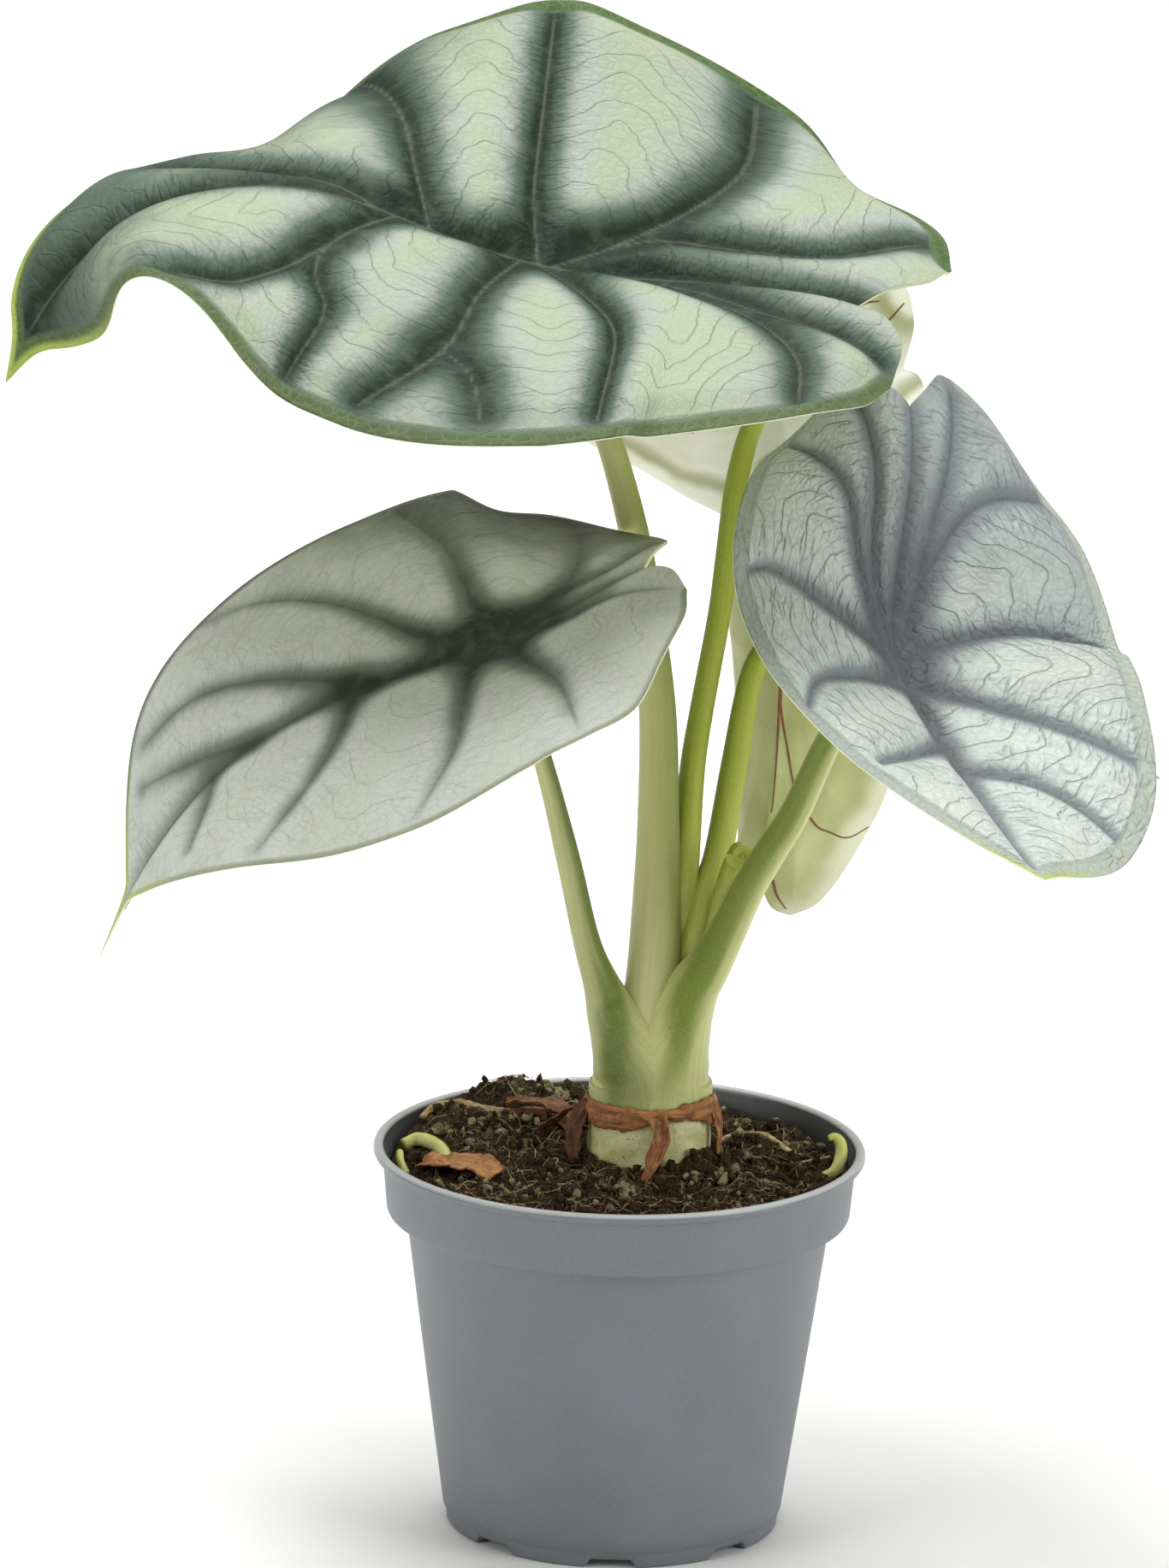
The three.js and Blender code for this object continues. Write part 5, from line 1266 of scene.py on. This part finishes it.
class ALOCASIA_OT_add_stem(bpy.types.Operator):
    """Builds the pale rhizome and the dried sheath round it"""

    bl_idname = "alocasia.add_stem"
    bl_label = "Add Stem"

    def execute(self, context):
        """The rhizome is an upright elliptical tube with shallow lumps. The dried sheath is a ring on
        it, with strips that hang from it."""
        x, y = STEM_CENTRE
        line = [(x, y, 74, 9, 9), (x, y, 84, 13.2, 11.8), (x, y, 93, 15, 13.4), (x, y, 105, 14.4, 12.9)]
        rhizome = tube(line, 96, 20, lambda a, s: 1 + 0.012 * np.sin(5 * a + 0.4 * s) * np.sin(0.5 * s))
        add_piece("rhizome", rhizome, [pale_rhizome()], "stem", ["stem_base"])
        dry = dried_tissue("Dried Sheath", "#BC8049", "#965C33")
        burnt = dried_tissue("Burnt Sheath", "#7C4C2B", "#55331E")
        front = [
            strip([(8.7, -14, 106.9, 2.9), (9.5, -14.9, 103.6, 2.2), (9.9, -15.6, 100, 1.9),
                   (8.5, -16.3, 96.6, 1.9), (7.3, -16.9, 93.4, 1.1), (6, -17.6, 91, 0.6)],
                  0.7, 0.7, 21, (1, 0, 0.2)),
            strip([(21.6, -4, 107.5, 2.2), (23, -4.2, 104, 1.9), (23.8, -4.6, 100.5, 1.3),
                   (24, -5, 97, 0.8), (23.6, -5.6, 94.8, 0.4)], 0.6, 0.5, 22, (0.5, 1, 0)),
        ]
        left = [
            strip([(-7.4, -3, 106.5, 1.8), (-9.4, -3.4, 103.6, 2.2), (-11, -3.6, 100, 2.2),
                   (-11.2, -4.4, 96, 1.9), (-10.4, -5.6, 92.6, 1.1)], 0.8, 0.6, 23, (1, -0.6, 0)),
            strip([(-7.6, -1.5, 105, 1.8), (-12, 0, 103.4, 2), (-16, 3, 99.6, 2), (-20, 8, 95.5, 1.6)],
                  0.6, 0.5, 24),
        ]
        add_piece("sheath_strips_front", joined(front), [dry], "dry")
        add_piece("sheath_strips_left", joined(left), [burnt], "dry")
        add_piece("sheath_ring", self.ring(), [dry], "dry", ["dry_sheath"])
        return {"FINISHED"}

    def ring(self):
        """A bulging, folded band round the rhizome, whose two edges rise and fall with the angle and
        are torn by noise; it stands off most at the right."""
        places = np.radians([-180, -150, -120, -97, -84, -72, -50, -25, -5, 20, 60, 100, 140, 180])
        lower = [102, 102, 102, 103.6, 105.2, 105.2, 104.6, 103, 101, 102.6, 103, 103, 102.6, 102]
        upper = [108, 108.1, 108, 107.7, 107.6, 107.7, 108.9, 109.3, 108.6, 108, 108, 108, 108, 108]
        a = np.linspace(-np.pi, np.pi, 300, endpoint=False)[None]
        t = np.linspace(0, 1, 15)[:, None]
        x, y, zero = np.cos(a) * 15, np.sin(a) * 13, np.zeros_like(a)
        low = np.interp(a, places, lower) + 1.6 * (value_noise(x, y, zero, 1.3, 5) - 0.5)
        high = np.interp(a, places, upper) + 0.9 * (value_noise(x, y, zero, 1.6, 6) - 0.5)
        z = low + (high - low) * t
        fold = value_noise(0.35 * x + 0 * t, 0.35 * y + 0 * t, z, 1.0, 8) - 0.5
        stand_off = 0.9 * (1 - t) * smooth(np.cos(a - math.radians(-8)), 0.85, 1)
        lift = 0.45 + 0.9 * fold + 0.7 * np.sin(np.pi * t) + stand_off
        grid = np.stack([STEM_CENTRE[0] + (14.9 + lift) * np.cos(a), (13.3 + lift) * np.sin(a), z], 2)
        return sheet(grid, 0.4, np.stack([z, 0 * z, 15 * a + 0 * z], 2), wrap=True)


class ALOCASIA_OT_add_stalks(bpy.types.Operator):
    """Builds the leaf stalks with the sheaths they start in, and the new shoot"""

    bl_idname = "alocasia.add_stalks"
    bl_label = "Add Stalks"

    def execute(self, context):
        """Each stalk is an elliptical tube along its middle line, with shallow ribs along it. The new
        shoot ends in a flat tube rolled in a spiral."""
        pale = green_stalk("Stalk Skin Pale", "#CACA98", "#BBBA82", "#98A058", 112, 170)
        left = green_stalk("Stalk Skin Left", "#B2B574", "#BABC82", "#66742A", 101, 122, -0.2)
        right = green_stalk("Stalk Skin Right", "#BDC080", "#CDCF90", "#6F7E24", 110, 134, -0.3)
        bright = green_stalk("Stalk Skin Bright", "#C9CC72", "#ADB748", "#7C8C22", 128, 180)
        looks = {"stalk_top": (pale, 72, (-10, -10, 80, 80)), "stalk_left": (left, 72, (-118, -20, 36, 75)),
                 "stalk_right": (right, 72, (-76, -120, 26, 75))}
        for name, line in STALKS.items():
            material, sides, inner = looks.get(name, (bright, 40, (180, 180, 80, 80)))
            stalk = tube(line, sides, 12, lambda a, s: 1 + 0.006 * np.sin(9 * a + 0.02 * s), inner)
            add_piece(name + "_skin", stalk, [material], "stalk", [name])
        turn, reach = np.linspace(-3.4, 5.4, 20), np.linspace(2.5, 0.8, 20)
        width, depth = np.linspace(1.5, 0.9, 20), np.full(20, 0.28)
        x, z = 27.9 + reach * np.cos(turn), 168.4 + reach * np.sin(turn)
        curl = np.column_stack([x, np.full(20, -1.0), z, width, depth])
        add_piece("shoot_curl", tube(curl, 16, 3), [bright], "shoot")
        return {"FINISHED"}


class ALOCASIA_OT_add_blades(bpy.types.Operator):
    """Builds the five leaf blades"""

    bl_idname = "alocasia.add_blades"
    bl_label = "Add Blades"

    def execute(self, context):
        """Each blade is the two faces of its swollen surface, joined by a rim, with raised veins
        beneath."""
        settings = context.scene.alocasia_leaf
        top = leaf_upper(
            "Waxy Leaf Skin Bright", panel=tuple(settings.silver), glow="#9DA78A", middle="#5C6D5D",
            band=tuple(settings.band), rim="#52633C", rim_far="#48602E", net="#808C78", thread_and_crease_shade="#787C6C",
            gloss=0.48, comb=0.19, relief=0.34, rim_width=3.6, specular=0.07)
        dull = leaf_upper(
            "Waxy Leaf Skin Dull", panel="#BABDB4", glow="#B5B9A9", middle="#757A6D", band="#2A3025",
            rim="#8E9878", rim_far="#5B6648", net="#858A80", thread_and_crease_shade="#3C4238",
            gloss=0.5, comb=0.14, relief=0.22, rim_width=0.6, specular=0.2)
        # The cool skin's dark line along each main vein is painted shade in the creases
        cool = leaf_upper(
            "Waxy Leaf Skin Cool", panel="#BCC3BE", glow="#BEC4BA", middle="#858B8C", band="#606468",
            rim="#A6AFA0", rim_far="#A0A99E", net="#7F8787", thread_and_crease_shade="#4C5052",
            gloss=0.48, comb=0.12, relief=0.6, rim_width=4.2, specular=0.2)
        pale = leaf_under("Leaf Underside Pale", "#D3D9B4", "#BFC99A")
        # The cream and green undersides get painted shade where their margins roll over
        cream = leaf_under("Leaf Underside Cream", "#F4F4EA", "#DADCC4", 0.75)
        green = leaf_under("Leaf Underside Green", "#C8CB98", "#A7AC70", 0.25)
        ridge = vein_skin("Vein Ridge Pale", "#C9C695", "#A89A68")
        red_ridge = vein_skin("Vein Ridge Red", "#8A532F", "#6E3F22")
        looks = {"blade_top": (top, pale, ridge), "blade_left": (dull, pale, ridge),
                 "blade_right": (cool, pale, ridge), "blade_rear": (cool, cream, red_ridge),
                 "blade_young": (cool, green, red_ridge)}
        thickness = settings.thickness / MM
        for name, blade in BLADES.items():
            upper, under, raised = looks[name]
            surface, indices = blade_mesh(blade, thickness)
            add_piece(name + "_skin", surface, [upper, under], "blade", [name], indices)
            add_piece(name + "_ridges", vein_ridges(blade, thickness), [raised], "blade")
        return {"FINISHED"}


class ALOCASIA_OT_add_litter(bpy.types.Operator):
    """Lays the dried stalk, scale, roots, stubs and sprout on the soil"""

    bl_idname = "alocasia.add_litter"
    bl_label = "Add Litter"

    def execute(self, context):
        """Each is a tube along a line over the soil, with ripples that suit it; the scale and the end
        of the dried stalk are crumpled strips."""
        dry = dried_tissue("Dried Stalk", "#A06A3E", "#70452A", "#BFA473", 24)
        scale = dried_tissue("Dried Scale", "#D09556", "#AA6C3A")
        root = root_skin("Pale Root", "#CBB788", "#9A7A4C")
        shoot = green_stalk("Shoot Skin", "#D6D48C", "#C6C862", "#A6AC42", 84, 96)
        looks = {"dried_stalk": (dry, "dry", 0.16), "root_right": (root, "root", 0.1),
                 "root_thin": (root, "root", 0.1), "green_stub": (shoot, "shoot", 0.04),
                 "pale_stub": (shoot, "shoot", 0.04), "sprout": (shoot, "shoot", 0.05)}
        for name, (material, slot, rough) in looks.items():
            piece = tube(over_soil(LITTER[name]), 24, 12, lambda a, s: (
                1 + rough * np.sin(3 * a + 0.7 * s) + 0.6 * rough * np.sin(7 * a - 1.9 * s)))
            add_piece(name + "_skin", piece, [material], slot, [name])
        flake = strip(over_soil(LITTER["dry_scale"])[:, :4], 1.3, 0.9, 31, thickness=0.5)
        add_piece("dry_scale_skin", flake, [scale], "dry", ["dry_scale"])
        line = [(-28, 25.5, 3.2, 1.5), (-22, 24.8, 3.8, 3), (-16, 23.5, 4, 3.2), (-11, 19, 3.4, 1.6)]
        points, faces, values = strip(over_soil(line), 1.6, 0.7, 32)
        past_the_tan = {"skin": values["skin"] + [0, 0, 30]}
        add_piece("dried_stalk_end", (points, faces, past_the_tan), [dry], "dry")
        return {"FINISHED"}


class ALOCASIA_OT_add_stage(bpy.types.Operator):
    """Sets the floor, the soft lights and the camera"""

    bl_idname = "alocasia.add_stage"
    bl_label = "Add Stage"

    def execute(self, context):
        """The floor is a pale disc. The camera looks down from the front, tilted by a degree."""
        scene = context.scene
        settings = scene.alocasia_stage
        a = np.linspace(0, 2 * np.pi, 96, endpoint=False)
        floor_radius = 6
        disc = np.stack([floor_radius * np.cos(a), floor_radius * np.sin(a), np.zeros(96)], 1)
        mesh = bpy.data.meshes.new("floor")
        mesh.from_pydata(disc.tolist(), [], [list(range(96))])
        floor = bpy.data.objects.new("floor", mesh)
        mesh.materials.append(finish(new_material("Pale Backdrop Paper")[0], tuple(settings.floor), 0.9))
        scene.collection.objects.link(floor)

        world = bpy.data.worlds.new("Studio White")
        world.use_nodes = True
        world.node_tree.nodes["Background"].inputs["Color"].default_value = hex_colour("#FFFFFF")
        world.node_tree.nodes["Background"].inputs["Strength"].default_value = 0.3
        scene.world = world

        # Square soft lights: place, aim, width in metres and power in watts
        lamps = {"top": ((-0.35, -0.25, 2.3), (0, 0, 0.2), 1.1, settings.key_power),
                 "left": ((-2.0, -1.3, 0.9), (0, 0, 0.2), 1.2, 15.0),
                 "right": ((2.1, -1.0, 0.9), (0, 0, 0.2), 1.2, 24.0),
                 "floor": ((0.0, 1.6, 2.6), (0, 1.4, 0), 2.4, 60.0)}
        for name, (where, aim, size, power) in lamps.items():
            light = bpy.data.lights.new(name, "AREA")
            light.energy, light.size = power, size
            lamp = bpy.data.objects.new(name, light)
            lamp.location = where
            lamp.rotation_euler = (Vector(aim) - Vector(where)).to_track_quat("-Z", "Y").to_euler()
            scene.collection.objects.link(lamp)

        eye, target, tilt = Vector((0, -2.3, 0.78066)), Vector((-0.01037, 0, 0.18532)), math.radians(1.2)
        ahead = (target - eye).normalized()
        right = ahead.cross(Vector((0, 0, 1))).normalized()
        up = right.cross(ahead)
        across = math.cos(tilt) * right + math.sin(tilt) * up
        upright = -math.sin(tilt) * right + math.cos(tilt) * up
        view = bpy.data.cameras.new("camera")
        view.lens, view.sensor_width, view.sensor_fit = 226.25, 36.0, "AUTO"
        camera = bpy.data.objects.new("camera", view)
        axes = Matrix((across, upright, -ahead)).transposed().to_4x4()
        camera.matrix_world = Matrix.Translation(eye) @ axes
        scene.collection.objects.link(camera)
        scene.camera = camera
        scene.view_settings.view_transform = "Standard"
        return {"FINISHED"}


OPERATORS = (ALOCASIA_OT_add_pot, ALOCASIA_OT_add_soil, ALOCASIA_OT_add_stem, ALOCASIA_OT_add_stalks,
             ALOCASIA_OT_add_blades, ALOCASIA_OT_add_litter, ALOCASIA_OT_add_stage)


class ALOCASIA_PT_sidebar(bpy.types.Panel):
    """Lists the pieces and their settings."""

    bl_idname = "ALOCASIA_PT_sidebar"
    bl_label = "Silver Dragon Alocasia"
    bl_space_type = "VIEW_3D"
    bl_region_type = "UI"
    bl_category = "Alocasia"

    def draw(self, context):
        for operator in OPERATORS:
            self.layout.operator(operator.bl_idname)
        for group in ("pot", "soil", "leaf", "stage"):
            settings = getattr(context.scene, "alocasia_" + group)
            box = self.layout.box()
            box.label(text=group.title())
            for key in settings.__annotations__:
                box.prop(settings, key)


GROUPS = {"pot": PotSettings, "soil": SoilSettings, "leaf": LeafSettings, "stage": StageSettings}
CLASSES = (*GROUPS.values(), *OPERATORS, ALOCASIA_PT_sidebar)


def register():
    """Makes the settings, operators and panel known to Blender."""
    for cls in CLASSES:
        bpy.utils.register_class(cls)
    for key, group in GROUPS.items():
        setattr(bpy.types.Scene, "alocasia_" + key, bpy.props.PointerProperty(type=group))


def unregister():
    """Takes them away again."""
    for key in GROUPS:
        delattr(bpy.types.Scene, "alocasia_" + key)
    for cls in reversed(CLASSES):
        bpy.utils.unregister_class(cls)


def main():
    """Builds every piece in order."""
    register()
    for operator in OPERATORS:
        group, name = operator.bl_idname.split(".")
        getattr(getattr(bpy.ops, group), name)()


if __name__ == "__main__":
    main()
